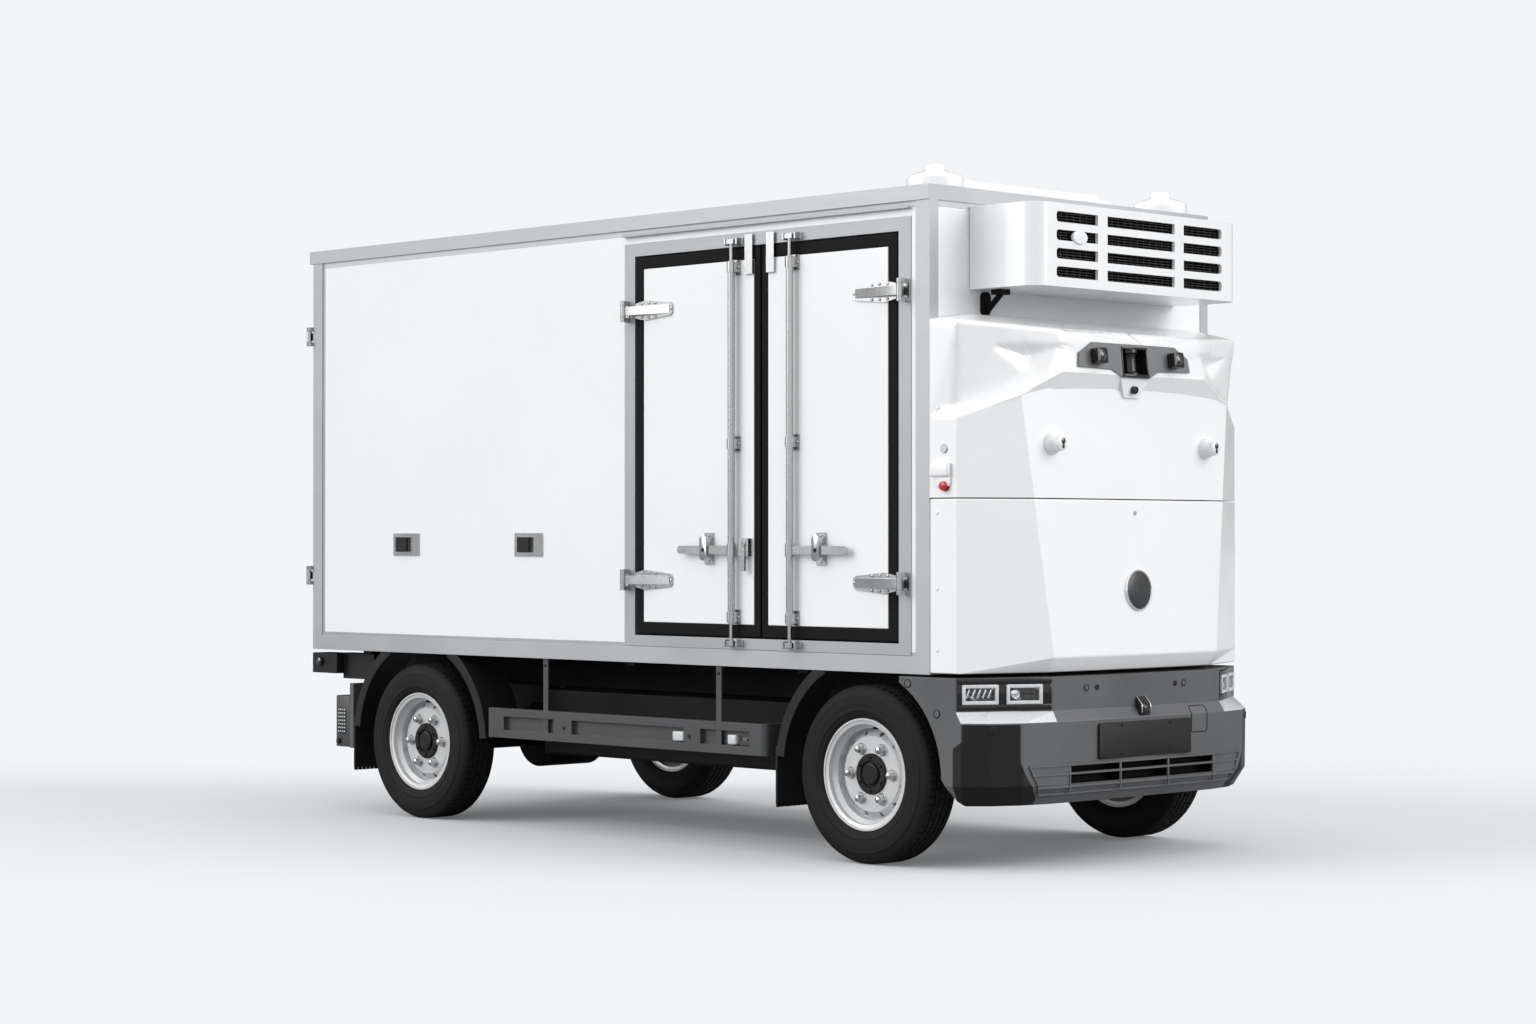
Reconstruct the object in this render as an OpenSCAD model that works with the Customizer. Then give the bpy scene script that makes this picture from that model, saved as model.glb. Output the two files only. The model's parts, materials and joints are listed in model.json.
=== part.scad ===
// Cabless refrigerated delivery van: insulated box on a ladder frame, sensor nose, cooling unit.
// Millimetres. +X forward, +Y left, +Z up. Origin on the ground below the middle of the van.

/* [Overall] */
// Distance between the axles
wheelbase = 2800; // [2600:10:3000]
// Distance between left and right wheel centre planes
track = 1550; // [1500:5:1580]
// Front axle ahead of the origin
front_axle_x = 1470; // [1400:5:1540]
// Box rear face behind the rear axle
rear_overhang = 802; // [780:2:900]
// Width of the insulated box
box_w = 1730; // [1700:5:1780]
// Height of the insulated box
box_h = 1880; // [1800:10:2000]
// Box underside above the ground
box_z = 750; // [740:2:780]
// Box front face ahead of the front axle
box_ahead = 358; // [340:2:380]

/* [Box panels] */
// Thickness of the side walls
wall_t = 75; // [60:1:85]
// Thickness of the front wall
front_wall_t = 75; // [60:1:90]
// Thickness of the floor
floor_t = 80; // [60:1:90]
// Thickness of the roof
roof_t = 80; // [60:1:90]
// Depth of the rear portal
portal_d = 90; // [85:1:120]
// Thickness of the edge trims
trim_t = 4; // [3:0.5:6]
// Height of the top edge trim
top_rail_h = 60; // [50:1:66]
// Height of the bottom edge trim
bottom_rail_h = 68; // [50:1:70]
// Width of the corner trims on the side
post_w = 73; // [60:1:80]
// Width of the corner trims on the front
post_front_w = 50; // [40:1:60]
// Top trim standing out behind the rear portal
cap_rear = 24; // [10:1:40]

/* [Doors] */
// Width of the side doorway
side_door_w = 1520; // [1400:10:1540]
// Side doorway behind the box front
side_door_x = 163; // [150:1:200]
// Rear doorway's jambs inside the box sides
rear_jamb_w = 65; // [62:1:80]
// Doorways above the box underside
door_z = 116; // [112:1:130]
// Height of the doorways
door_h = 1592; // [1500:2:1600]
// Thickness of the door leaves
leaf_t = 75; // [60:1:85]
// Gap between leaf and frame
leaf_gap = 5; // [5:0.5:8]
// Gap between two leaves
mid_gap = 8; // [8:0.5:14]
// Width of the black edge seal
seal_w = 51; // [40:1:60]
// Width of the seal at the free edge
seal_mid_w = 37; // [30:1:45]
// Thickness of the seal
seal_t = 22; // [15:1:30]
// Set-back of a leaf's inner free edge
edge_bevel = 12; // [11:1:20]
// Thickness of the door frame's sleeve
sleeve_t = 12; // [8:1:16]
// Side hinge axis outside the side wall
side_hinge_p = 35; // [33:1:40]
// Side hinge axis from the doorway's jamb
side_hinge_out = 37; // [35:1:42]
// Rear hinge axis behind the rear face
rear_hinge_p = 26; // [25:1:32]
// Rear hinge axis from the doorway's jamb
rear_hinge_out = 69; // [66:1:74]
// Height of the upper hinges above the doorway's foot
hinge_z_top = 1362; // [1300:2:1400]
// Height of the lower hinges above the doorway's foot
hinge_z_low = 232; // [200:2:300]
// Length of the hinge straps
strap_l = 238; // [200:2:260]
// Radius of the hinge pins
pin_r = 7; // [6:0.5:8]
// Running clearance at pins and spindles
pin_clear = 0.1; // [0.05:0.01:0.15]
// Radius of the lock rods
rod_r = 15; // [10:0.5:16]
// Lock rods outside the leaf
rod_out = 27; // [26:0.5:29]
// Lock rod from the middle of the doorway, on the leaf with the lock box
rod_in = 145; // [130:1:180]
// Lock rod from the middle of the doorway, on the other leaf
rod_in_far = 191; // [150:1:200]
// Height of the handles above the doorway's foot
handle_z = 359; // [330:1:400]
// Length of the handles
handle_l = 318; // [280:2:340]

/* [Nose] */
// Depth of the nose's flat sides
nose_side_l = 141; // [120:1:160]
// Nose crease ahead of the box at the seam
crease_x = 287; // [260:1:310]
// Nose crease from the middle at the seam
crease_y = 588; // [540:2:620]
// Forward lean of the crease over its height
crease_lean = 0.05; // [0.03:0.005:0.07]
// Spread of the crease over its height
crease_flare = 0.134; // [0.1:0.002:0.16]
// Crown of the front face
crown = 14; // [6:1:24]
// Height of the seam between the two nose shells
seam_z = 1425; // [1380:1:1460]
// Foot of the nose above the ground
nose_z = 757; // [752:1:765]
// Top of the nose against the box
nose_top_z = 2112; // [2090:1:2130]
// Thickness of the nose shells
shell_t = 12; // [8:1:16]

/* [Bumper] */
// Thickness of the bumper shell
bumper_t = 22; // [16:1:26]
// Rear edge of the fender ahead of the front axle
fender_x = 196; // [180:2:220]
// Radius of the wheel arch
arch_r = 415; // [410:1:430]
// Width of a headlamp
lamp_w = 147; // [130:1:155]
// Height of a headlamp
lamp_h = 76; // [60:1:84]

/* [Cooling unit] */
// Width of the cooling unit
unit_w = 1272; // [1200:4:1300]
// Depth of the cooling unit
unit_d = 338; // [300:2:346]
// Height of the cooling unit
unit_h = 321; // [312:1:330]
// Foot of the cooling unit above the ground
unit_z = 2236; // [2215:1:2245]
// Corner radius of the cooling unit
unit_r = 70; // [50:1:90]
// Height of its air slots
slot_h = 41; // [34:1:46]
// Pitch of its air slots
slot_pitch = 70.5; // [66:0.5:72]

/* [Running gear] */
// Tyre radius
tyre_r = 350; // [340:1:355]
// Tyre half width
tyre_hw = 97; // [90:1:100]
// Rim bead seat radius
rim_r = 203; // [200:0.5:206]
// Wheel stud circle
stud_pcd = 222.25; // [205:0.05:230]
// Wheel nuts on each wheel
nuts = 6; // [5:1:8]
// Vent holes in each wheel
vents = 12; // [8:1:14]
// Wheel spindle radius
spindle_r = 25; // [22:0.5:28]
// Kingpin inside the wheel centre plane
kingpin_in = 122; // [120:1:130]
// Kingpin radius
kingpin_r = 16; // [14:0.5:18]
// Steering arm length behind the axle
steer_arm = 170; // [150:1:190]
// Outer half width of the ladder frame
frame_y = 400; // [380:2:410]
// Width of a frame rail
rail_w = 60; // [50:1:70]
// Underside of the frame rails
rail_z = 600; // [590:1:620]
// Height of the frame rails
rail_h = 135; // [120:1:136]
// Battery ends from the axles
battery_gap = 550; // [545:5:700]
// Width of the battery
battery_w = 1160; // [1000:10:1180]
// Underside of the battery
battery_z = 310; // [290:2:340]
// Inner radius of the mudguards
guard_r = 478; // [470:1:484]
// Width of the mudguards
guard_w = 205; // [190:1:215]
// Height of the side guard panel
skirt_h = 130; // [110:1:140]
// Underside of the side guard panel
skirt_z = 393; // [380:1:420]
// Side guard's rear end from the rear axle
skirt_rear = 503; // [490:1:560]
// Side guard's front end from the front axle
skirt_front = 547; // [520:1:600]

/* [Hidden] */
$fn = 48;
x1 = front_axle_x + box_ahead;
rear_axle_x = front_axle_x - wheelbase;
x0 = rear_axle_x - rear_overhang;
yb = box_w / 2;
z0 = box_z;
z1 = box_z + box_h;
py = yb - trim_t;
pz0 = z0 + trim_t;
pz1 = z1 - trim_t;
floor_top = pz0 + floor_t;
ceiling = pz1 - roof_t;
xr = x0 + portal_d;
xf = x1 - trim_t - front_wall_t;
sd1 = x1 - side_door_x;
sd0 = sd1 - side_door_w;
dz0 = z0 + door_z;
dz1 = dz0 + door_h;
rw = yb - rear_jamb_w;
hinge_zs = [dz0 + hinge_z_low, dz0 + hinge_z_top];
deck_t = 6;
deck_gap = 1;
knuckle_r = 12;
knuckle_h = 50;
fixed_h = 18;

// Door leaves: name, jamb x, jamb y, turn, flip, half doorway, hinge_out, hinge_p, lock box, rod
LEAVES = [
  ["side_rear", sd0, -yb, 0, false, side_door_w / 2, side_hinge_out, side_hinge_p, true, rod_in],
  ["side_front", sd1, -yb, 0, true, side_door_w / 2, side_hinge_out, side_hinge_p, false, rod_in_far],
  ["rear_right", x0, -rw, 90, true, rw, rear_hinge_out, rear_hinge_p, true, rod_in],
  ["rear_left", x0, rw, -90, false, rw, rear_hinge_out, rear_hinge_p, false, rod_in_far],
];
// Wheels: name, axle x, side
WHEELS = [
  ["front_left", front_axle_x, 1],
  ["front_right", front_axle_x, -1],
  ["rear_left", rear_axle_x, 1],
  ["rear_right", rear_axle_x, -1],
];
FIXED = [
  "cargo_floor", "roof_panel", "left_wall", "right_wall", "front_wall", "edge_trims",
  "side_door_frame", "rear_portal", "hinge_butts", "door_catches",
  "nose_lower", "nose_upper", "sensor_plate", "sensor_units", "bumper", "lamps",
  "cooling_shell", "cooling_core", "cooling_pipe", "roof_pods", "roof_hatch",
  "frame_rails", "frame_crossmembers", "battery_pack", "front_axle", "rear_axle", "leaf_springs",
  "side_guards", "mudguards", "rear_bumper", "rear_sensor_pods",
];

white = [0.93, 0.93, 0.92];
grey = [0.66, 0.67, 0.68];
dark = [0.25, 0.26, 0.27];
black = [0.08, 0.08, 0.09];
steel = [0.75, 0.76, 0.78];

// Helpers
module slab(a, b) { translate(a) cube(b - a); }
module both_sides() { children(); mirror([0, 1, 0]) children(); }
// A closed skin through rings of points; each ring runs anticlockwise seen from above, lowest first
module loft(rings) {
  n = len(rings[0]);
  m = len(rings);
  polyhedron(
    points = [for (r = rings) each r],
    faces = concat(
      [[for (i = [0:n - 1]) i]],
      [[for (i = [n - 1:-1:0]) (m - 1) * n + i]],
      [for (k = [0:m - 2], i = [0:n - 1]) [k * n + i, (k + 1) * n + i, (k + 1) * n + (i + 1) % n]],
      [for (k = [0:m - 2], i = [0:n - 1]) [k * n + i, (k + 1) * n + (i + 1) % n, k * n + (i + 1) % n]]
    )
  );
}
// A right half of a ring in [x, y, z] and its mirror image, as one ring
function mirrored(half) = concat(half, [for (i = [len(half) - 1:-1:0])
  if (half[i].y != 0) [half[i].x, -half[i].y, half[i].z]]);
function lerp(a, b, t) = a + (b - a) * t;
function arc(r, a0, a1, n) = [for (i = [0:n]) let (a = lerp(a0, a1, i / n)) [r * cos(a), r * sin(a)]];
// A plate in the X-Z plane through points [x, z], from y0 to y1
module xz_plate(pts, y0, y1) {
  translate([0, y1, 0]) rotate([90, 0, 0]) linear_extrude(y1 - y0) polygon(pts);
}

// Insulated box
module cargo_floor() {
  color(grey) union() {
    slab([xr, -py, pz0], [x1 - trim_t, py, floor_top]);
    // deck plate between the walls
    side = py - wall_t - deck_gap;
    slab([xr + deck_gap, -side, floor_top - 1], [xf - deck_gap, side, floor_top + deck_t]);
  }
}
module roof_panel() { color(white) slab([xr, -py, ceiling], [x1 - trim_t, py, pz1]); }
module front_wall() { color(white) slab([xf, -py, floor_top], [x1 - trim_t, py, ceiling]); }
module left_wall() { color(white) slab([xr, py - wall_t, floor_top], [xf, py, ceiling]); }
module right_wall() {
  color(white) difference() {
    slab([xr, -py, floor_top], [xf, -py + wall_t, ceiling]);
    slab([sd0 - sleeve_t, -yb, dz0 - sleeve_t], [sd1 + sleeve_t, 0, dz1 + sleeve_t]);
  }
}
module edge_trims() {
  color(grey) difference() {
    union() {
      slab([x0, -yb, z0], [x1, yb, z1]);
      slab([x0 - cap_rear, -yb - 3, z1 - top_rail_h], [x1, yb + 3, z1]);
    }
    slab([x0 - 100, -py, pz0], [x1 - trim_t, py, pz1]);
    slab([x0 + post_w, -yb - 50, z0 + bottom_rail_h], [x1 - post_w, yb + 50, z1 - top_rail_h]);
    slab([x1 - 60, -yb + post_front_w, z0 + bottom_rail_h], [x1 + 1, yb - post_front_w, z1 - top_rail_h]);
    slab([x0 + post_w, -yb + post_front_w, z0 - 1], [x1 - post_w, yb - post_front_w, z1 + 1]);
  }
}
module rear_portal() {
  color(grey) difference() {
    slab([x0, -py, pz0], [xr, py, pz1]);
    slab([x0 - 1, -rw, dz0], [xr + 1, rw, dz1]);
  }
}
frame_face = 65;
module side_door_frame() {
  color(grey) {
    difference() {
      union() {
        slab([sd0 - frame_face, -yb, dz0 - 45], [sd1 + frame_face, -py, dz1 + 55]);
        slab([sd0 - sleeve_t, -yb, dz0 - sleeve_t], [sd1 + sleeve_t, -py + wall_t, dz1 + sleeve_t]);
      }
      slab([sd0, -yb - 1, dz0], [sd1, 0, dz1]);
    }
    // rain gutter over the doorway
    slab([sd0 - frame_face, -yb - 13, dz1 + 84], [sd1 + frame_face, -py, dz1 + 88]);
    slab([sd0 - frame_face, -yb - 16, dz1 + 84], [sd1 + frame_face, -yb - 13, dz1 + 97]);
  }
}

// A leaf's place: local X runs from its jamb to its free edge, local -Y is outward
module at_leaf(d) {
  translate([d[1], d[2], 0])
    if (d[4]) mirror([1, 0, 0]) rotate([0, 0, d[3]]) children();
    else rotate([0, 0, d[3]]) children();
}
module leaf_panel(d) {
  free = d[5] - mid_gap / 2;
  color(white) at_leaf(d) union() {
    slab([leaf_gap + seal_w, 0, dz0 + leaf_gap + seal_w],
         [free - seal_mid_w, seal_t + 1, dz1 - leaf_gap - seal_w]);
    slab([leaf_gap, seal_t, dz0 + leaf_gap], [free - edge_bevel, leaf_t, dz1 - leaf_gap]);
  }
}
module leaf_seal(d) {
  free = d[5] - mid_gap / 2;
  color(black) at_leaf(d) difference() {
    slab([leaf_gap, 0, dz0 + leaf_gap], [free, seal_t, dz1 - leaf_gap]);
    slab([leaf_gap + seal_w, -1, dz0 + leaf_gap + seal_w],
         [free - seal_mid_w, seal_t + 1, dz1 - leaf_gap - seal_w]);
  }
}
// The moving half of a hinge: knuckle, arm clear of the frame, tapered strap with a rib
module hinge_strap(ho, p) {
  difference() {
    union() {
      translate([-ho, -p, -knuckle_h / 2]) cylinder(r = knuckle_r, h = knuckle_h);
      translate([0, 0, -18]) linear_extrude(36) polygon([
        [-ho, -p], [30, -p], [strap_l * 0.55, -20], [strap_l - 14, -9], [strap_l - 14, -3],
        [leaf_gap + 4, -3], [leaf_gap + 2, -8], [-ho, -p + 11]]);
      xz_plate([[leaf_gap + 3, -30], [70, -42], [strap_l - 12, -27], [strap_l, -16],
        [strap_l, 16], [strap_l - 12, 27], [70, 42], [leaf_gap + 3, 30]], -6, 0);
    }
    translate([-ho, -p, -knuckle_h]) cylinder(r = pin_r + pin_clear, h = 2 * knuckle_h);
  }
}
// The fixed half: two knuckles on a plate beside or, on a corner, inside the axis, with the pin
module hinge_butt(ho, p, corner) {
  end = knuckle_h / 2 + 1;
  translate([-ho, -p, -end - fixed_h]) cylinder(r = pin_r, h = 2 * (end + fixed_h));
  for (s = [-1, 1]) translate([0, 0, s > 0 ? end : -end - fixed_h]) {
    translate([-ho, -p, 0]) cylinder(r = knuckle_r, h = fixed_h);
    slab([-ho - knuckle_r, -p, 0], [-ho + (corner ? 20 : 4), 0, fixed_h]);
  }
  slab([corner ? -ho + 6 : -ho - 26, -5, -end - fixed_h], [corner ? -14 : -ho + 4, 0, end + fixed_h]);
}
guide_zs = [86, 790, 1507];
cam_out = 30;
module leaf_gear(d) {
  w = d[5];
  u = w - d[9];
  color(steel) at_leaf(d) {
    for (z = hinge_zs) translate([0, 0, z]) hinge_strap(d[6], d[7]);
    // lock rod with guides, cams and handle
    translate([u, -rod_out, dz0 + 60]) cylinder(r = rod_r, h = door_h - 60 - 60);
    translate([u, -rod_out, dz0 - cam_out]) cylinder(r = 8, h = door_h + 2 * cam_out);
    for (g = guide_zs) translate([u, 0, dz0 + g]) {
      slab([-30, -5, -31], [30, 0, 31]);
      slab([-rod_r - 4, -rod_out, -20], [rod_r + 4, -4, 20]);
      translate([0, -rod_out, -20]) cylinder(r = rod_r + 4, h = 40);
    }
    for (z = [dz0 - cam_out, dz1 + cam_out - 20])
      slab([u - 20, -rod_out - 9, z], [u + 20, -rod_out + 9, z + 20]);
    translate([u, -rod_out, dz0 + handle_z - 26]) cylinder(r = rod_r + 4, h = 52);
    xz_plate([[u, dz0 + handle_z - 17], [u - handle_l + 14, dz0 + handle_z - 17],
      [u - handle_l, dz0 + handle_z - 10], [u - handle_l, dz0 + handle_z + 10],
      [u - handle_l + 14, dz0 + handle_z + 17], [u, dz0 + handle_z + 17]], -rod_out - 5, -rod_out + 5);
    // handle catch
    translate([u - 155, 0, dz0 + handle_z]) {
      slab([-27, -5, -60], [27, 0, 70]);
      slab([-16, -rod_out - 10, -28], [16, -4, 34]);
    }
    // stop tab over the frame's head
    slab([w - 84, -11, dz1 - 116], [w - 40, -7, dz1 + 46]);
    slab([w - 84, -8, dz1 - 116], [w - 40, 0, dz1 - 60]);
    if (d[8]) {
      slab([w - 106, -24, dz0 + 334], [w - 50, 0, dz0 + 406]);
      slab([w - 90, -30, dz0 + 274], [w - 66, -20, dz0 + 372]);
    }
  }
}
module hinge_butts() {
  color(steel) for (d = LEAVES, z = hinge_zs) at_leaf(d) translate([0, 0, z])
    hinge_butt(d[6], d[7], d[3] != 0);
}
// Hold-backs on the walls: x, side
HOLDBACKS = [[x0 + rw - 84, -1], [sd0 - side_door_w / 2 + 65, -1], [x0 + rw - 84, 1]];
module door_catches() {
  color(steel) {
    for (d = LEAVES, z = [dz0 - cam_out + 10, dz1 + cam_out - 10])
      at_leaf(d) translate([d[5] - d[9], 0, z]) {
      slab([-44, -5, -14], [44, 0, 14]);
      for (s = [-1, 1]) slab([s > 0 ? 28 : -38, -34, -14], [s > 0 ? 38 : -28, 0, 14]);
    }
    for (h = HOLDBACKS) translate([h[0], h[1] * py, dz0 + 328]) scale([1, h[1], 1]) {
      slab([-95, 0, 0], [95, 5, 102]);
      slab([-60, 4, 18], [20, 20, 84]);
    }
  }
}

// Nose shells
function crease_at(z) = [x1 + crease_x + (seam_z - z) * crease_lean, crease_y + (z - seam_z) * crease_flare];
function nose_ring(z, t, back, pull) = let (c = crease_at(z)) mirrored([
  [x1 - back, -yb + t, z], [x1 + nose_side_l - t * 0.6, -yb + t, z],
  [c.x - t - pull, -c.y + t * 0.6, z],
  [c.x - t - pull + crown * 0.75, -c.y / 2, z], [c.x - t - pull + crown, 0, z]]);
module nose_lower() {
  color(white) difference() {
    loft([nose_ring(nose_z, 0, 0, 40), nose_ring(nose_z + 58, 0, 0, 0), nose_ring(seam_z - 2, 0, 0, 0)]);
    loft([nose_ring(nose_z + 12, shell_t, 40, 40), nose_ring(nose_z + 60, shell_t, 40, 0),
      nose_ring(seam_z - 14, shell_t, 40, 0)]);
  }
}
head_x = x1 + 305;
head_z = 1913;
head_y = 440;
brow_x = 287;
brow_z = 2078;
head_lean = atan2(305 - brow_x, brow_z - head_z);
// Sensor head rings: x ahead of the box, y, z for the right half
function head_ring(rows) = mirrored([for (r = rows) [x1 + r[0], -r[1], r[2]]]);
lip_z = 1818;
lip = crease_at(lip_z);
HEAD_FOOT = [[0, yb - 12, 1690], [118, yb - 14, 1690], [225, yb - 265, 1700], [192, 560, 1700],
  [202, 410, 1700]];
HEAD_EDGE = [[0, yb, 1735], [nose_side_l, yb, 1728], [lip.x - x1 + 2, lip.y + 2, lip_z], [272, 585, 1845],
  [305, head_y, head_z]];
HEAD_NECK = [[0, yb, 1750], [nose_side_l - 26, yb - 14, 1786], [226, yb - 259, 1897], [250, 560, 1907],
  [304, head_y - 0.6, 1922]];
HEAD_BROW = [[0, yb, nose_top_z], [nose_side_l, yb, nose_top_z - 12], [214, yb - 218, 2089],
  [234.5, 585, 2086], [brow_x, head_y - 12, brow_z]];
HEAD_TOP = [[0, yb - 165, 2135], [62, yb - 165, 2135], [72, yb - 325, 2135], [75, 490, 2135], [82, 380, 2135]];
module head_solid() {
  loft([for (rows = [HEAD_FOOT, HEAD_EDGE, HEAD_NECK, HEAD_BROW, HEAD_TOP]) head_ring(rows)]);
}
// Hollow under the brow on a corner face: rear end, front end, foot and depth, as shares of the face
module scoop() {
  a = [x1 + nose_side_l, -yb];
  b = [x1 + 291, -head_y + 18];
  out = [yb - head_y, 150 / 435 * (head_y - yb)] / yb;
  function on_face(f, z, off) = let (p = lerp(a, b, f) + out * off) [p.x, p.y, z];
  polyhedron(
    points = [on_face(0.16, 2027, 5), on_face(1.17, 2042, 36), on_face(0.66, 1890, 28),
      on_face(0.68, 1974, -62)],
    faces = [[0, 1, 2], [0, 3, 1], [1, 3, 2], [2, 3, 0]]);
}
// Places on the head's leaning front face: local X outward, Y left, Z up from its lower edge
module on_head() { translate([head_x, 0, head_z]) rotate([0, -head_lean, 0]) children(); }
PLATE = [[-258, 124], [-340, 79], [-348, 24], [-145, 19], [-83, -10], [83, -10], [145, 19], [348, 24],
  [340, 79], [258, 124]];
lidar_w = 160;
// Upper edge of the body under the head's lip
body_top = let (f = crease_at(1885)) mirrored([
  [x1, -yb, 1735], [x1 + nose_side_l, -yb, 1728], [lip.x, -lip.y, lip_z],
  [f.x + crown * 0.75, -f.y / 2, 1885], [f.x + crown, 0, 1885]]);
module upper_body() { loft([nose_ring(seam_z + 2, 0, 0, 0), nose_ring(1700, 0, 0, 0), body_top]); }
// Block below the ranging sensor
module chin() {
  loft([mirrored([[x1 + 220, -45, 1825], [x1 + 288, -45, 1825]]),
    mirrored([[x1 + 220, -88, 1906], [x1 + 304, -88, 1906]]),
    mirrored([[x1 + 220, -88, 1930], [x1 + 302, -88, 1930]])]);
}
module nose_upper() {
  color(white) difference() {
    union() {
      upper_body();
      head_solid();
      chin();
    }
    both_sides() scoop();
    loft([nose_ring(seam_z + 14, shell_t, 40, 0), nose_ring(1715, shell_t, 40, 0)]);
    on_head() slab([-62, -lidar_w / 2, -6], [40, lidar_w / 2, 112]);
  }
}
module sensor_plate() {
  color([0.5, 0.51, 0.52]) on_head() difference() {
    rotate([90, 0, 90]) linear_extrude(5) polygon(PLATE);
    slab([-1, -lidar_w / 2, -6], [6, lidar_w / 2, 112]);
  }
}
// Camera on the plate: half width, half height, depth, corner radius
CAMERA = [31, 31, 36, 11];
module plate_camera() {
  r = CAMERA[3];
  w = CAMERA[0] - r;
  h = CAMERA[1] - r;
  slab([0, -w - r, -h], [CAMERA[2], w + r, h]);
  slab([0, -w, -h - r], [CAMERA[2], w, h + r]);
  for (y = [-w, w], z = [-h, h]) translate([0, y, z]) rotate([0, 90, 0]) cylinder(r = r, h = CAMERA[2]);
}
pod_x = crease_at(1640).x + crown * 0.3;
module sensor_units() {
  color(black) {
    // ranging sensor in its window
    on_head() translate([-30, 0, -6]) cylinder(r = 32, h = 118);
    // plate cameras
    for (s = [-1, 1]) on_head() translate([5, s * 239, 67]) plate_camera();
    // chin camera
    difference() {
      translate([x1 + 278, 0, 1858]) rotate([0, 90, 0]) cylinder(r = 15, h = 26);
      chin();
    }
    // corner camera pods
    difference() {
      for (s = [-1, 1]) translate([pod_x, s * 479, 1637]) union() {
        sphere(r = 44);
        rotate([0, 90, 0]) cylinder(r = 30, h = 60);
      }
      upper_body();
    }
    // stop button housings on the nose's sides
    for (s = [-1, 1]) translate([x1, s * yb, 0]) {
      slab([14, s > 0 ? 0 : -24, 1506], [112, s > 0 ? 24 : 0, 1562]);
      translate([81, 0, 1471]) rotate([-90 * s, 0, 0]) cylinder(r = 19, h = 22);
    }
    // wedge camera over the number plate
    difference() {
      translate([front_axle_x, 0, 0]) xz_plate([[670, 686], [692, 684], [716, 620],
        [720, 600], [712, 588], [690, 574], [670, 574]], -31, 31);
      bumper_solid(0, 0);
    }
  }
}

// Bumper outline at five levels from the front axle: z, side x and y, two corner points, crease, middle x
BUMPER = [
  [255, 500, yb - 35, 566, yb - 103, 626, yb - 217, 656, yb - 360, 668],
  [330, 515, yb, 598, yb - 67, 668, yb - 185, 700, yb - 345, 710],
  [571, 515, yb, 600, yb - 65, 670, yb - 185, 703, yb - 342, 714],
  [612, 490, yb, 553, yb - 116, 615, yb - 231, 678, yb - 346, 688],
  [741, 490, yb, 553, yb - 116, 615, yb - 231, 678, yb - 346, 688],
];
function bumper_ring(b, t, back, z) = mirrored([for (p = [
  [fender_x - back, b[2] - t], [b[1] - t * 0.5, b[2] - t], [b[3] - t * 0.7, b[4] - t * 0.7],
  [b[5] - t * 0.8, b[6] - t * 0.6], [b[7] - t, b[8] - t * 0.3],
  [b[9] - t, 0]]) [front_axle_x + p.x, -p.y, z]]);
top_t = 6;
module bumper_solid(t, back) {
  loft([for (i = [0:4]) bumper_ring(BUMPER[i], t, back,
    t == 0 ? BUMPER[i][0] : (i == 0 ? BUMPER[i][0] - 2 : (i == 4 ? BUMPER[i][0] - top_t : BUMPER[i][0])))]);
}
lamp_turn = atan2(346, 678 - 490);
// Headlamps: distance along the corner face from the fender
LAMPS = [0.25, 0.705];
module at_lamp(f) {
  translate([front_axle_x + lerp(490, 678, f), -yb + 346 * f, 678]) rotate([0, 0, lamp_turn]) children();
}
GRILLE_ROWS = [[375, 399], [332, 366]];
module bumper() {
  color(dark) difference() {
    union() {
      difference() {
        bumper_solid(0, 0);
        bumper_solid(bumper_t, 60);
      }
      // backing of the grille
      translate([front_axle_x, 0, 0]) slab([636, -460, 318], [690, 460, 408]);
    }
    both_sides() {
      xz_plate(concat(arc(arch_r, 0, 180, 32) + [for (i = [0:32]) [front_axle_x, tyre_r]],
        [[front_axle_x - arch_r, 200], [front_axle_x + 522, 200], [front_axle_x + 522, 246],
         [front_axle_x + 474, 272], [front_axle_x + arch_r + 4, tyre_r]]), -yb - 10, -yb + 200);
      for (f = LAMPS) at_lamp(f) slab([-lamp_w / 2, -10, -lamp_h / 2], [lamp_w / 2, 44, lamp_h / 2]);
    }
    // grille: three blind openings in two rows
    translate([front_axle_x, 0, 0]) for (r = GRILLE_ROWS, y = [-298, 0, 298])
      slab([648, y - 142, r[0]], [760, y + 142, r[1]]);
  }
}
TAIL_X = x0 + 257;
module lamps() {
  color([0.85, 0.86, 0.88]) {
    both_sides() for (f = LAMPS) at_lamp(f) {
      slab([-lamp_w / 2 + 0.3, 1, -lamp_h / 2 + 0.3], [lamp_w / 2 - 0.3, 34, lamp_h / 2 - 0.3]);
    }
    both_sides() slab([TAIL_X - 115, -yb + 25, 296], [TAIL_X, -yb + 175, 536]);
  }
}

// Cooling unit
module rounded_unit(t) {
  w = unit_w / 2 - t;
  d = unit_d - t;
  r = unit_r - t;
  translate([x1, 0, unit_z + t]) union() {
    slab([t == 0 ? 0 : -20, -w, 0], [d - r, w, unit_h - 2 * t]);
    slab([0, -w + r, 0], [d, w - r, unit_h - 2 * t]);
    for (s = [-1, 1]) translate([d - r, s * (w - r), 0]) cylinder(r = r, h = unit_h - 2 * t);
  }
}
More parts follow.
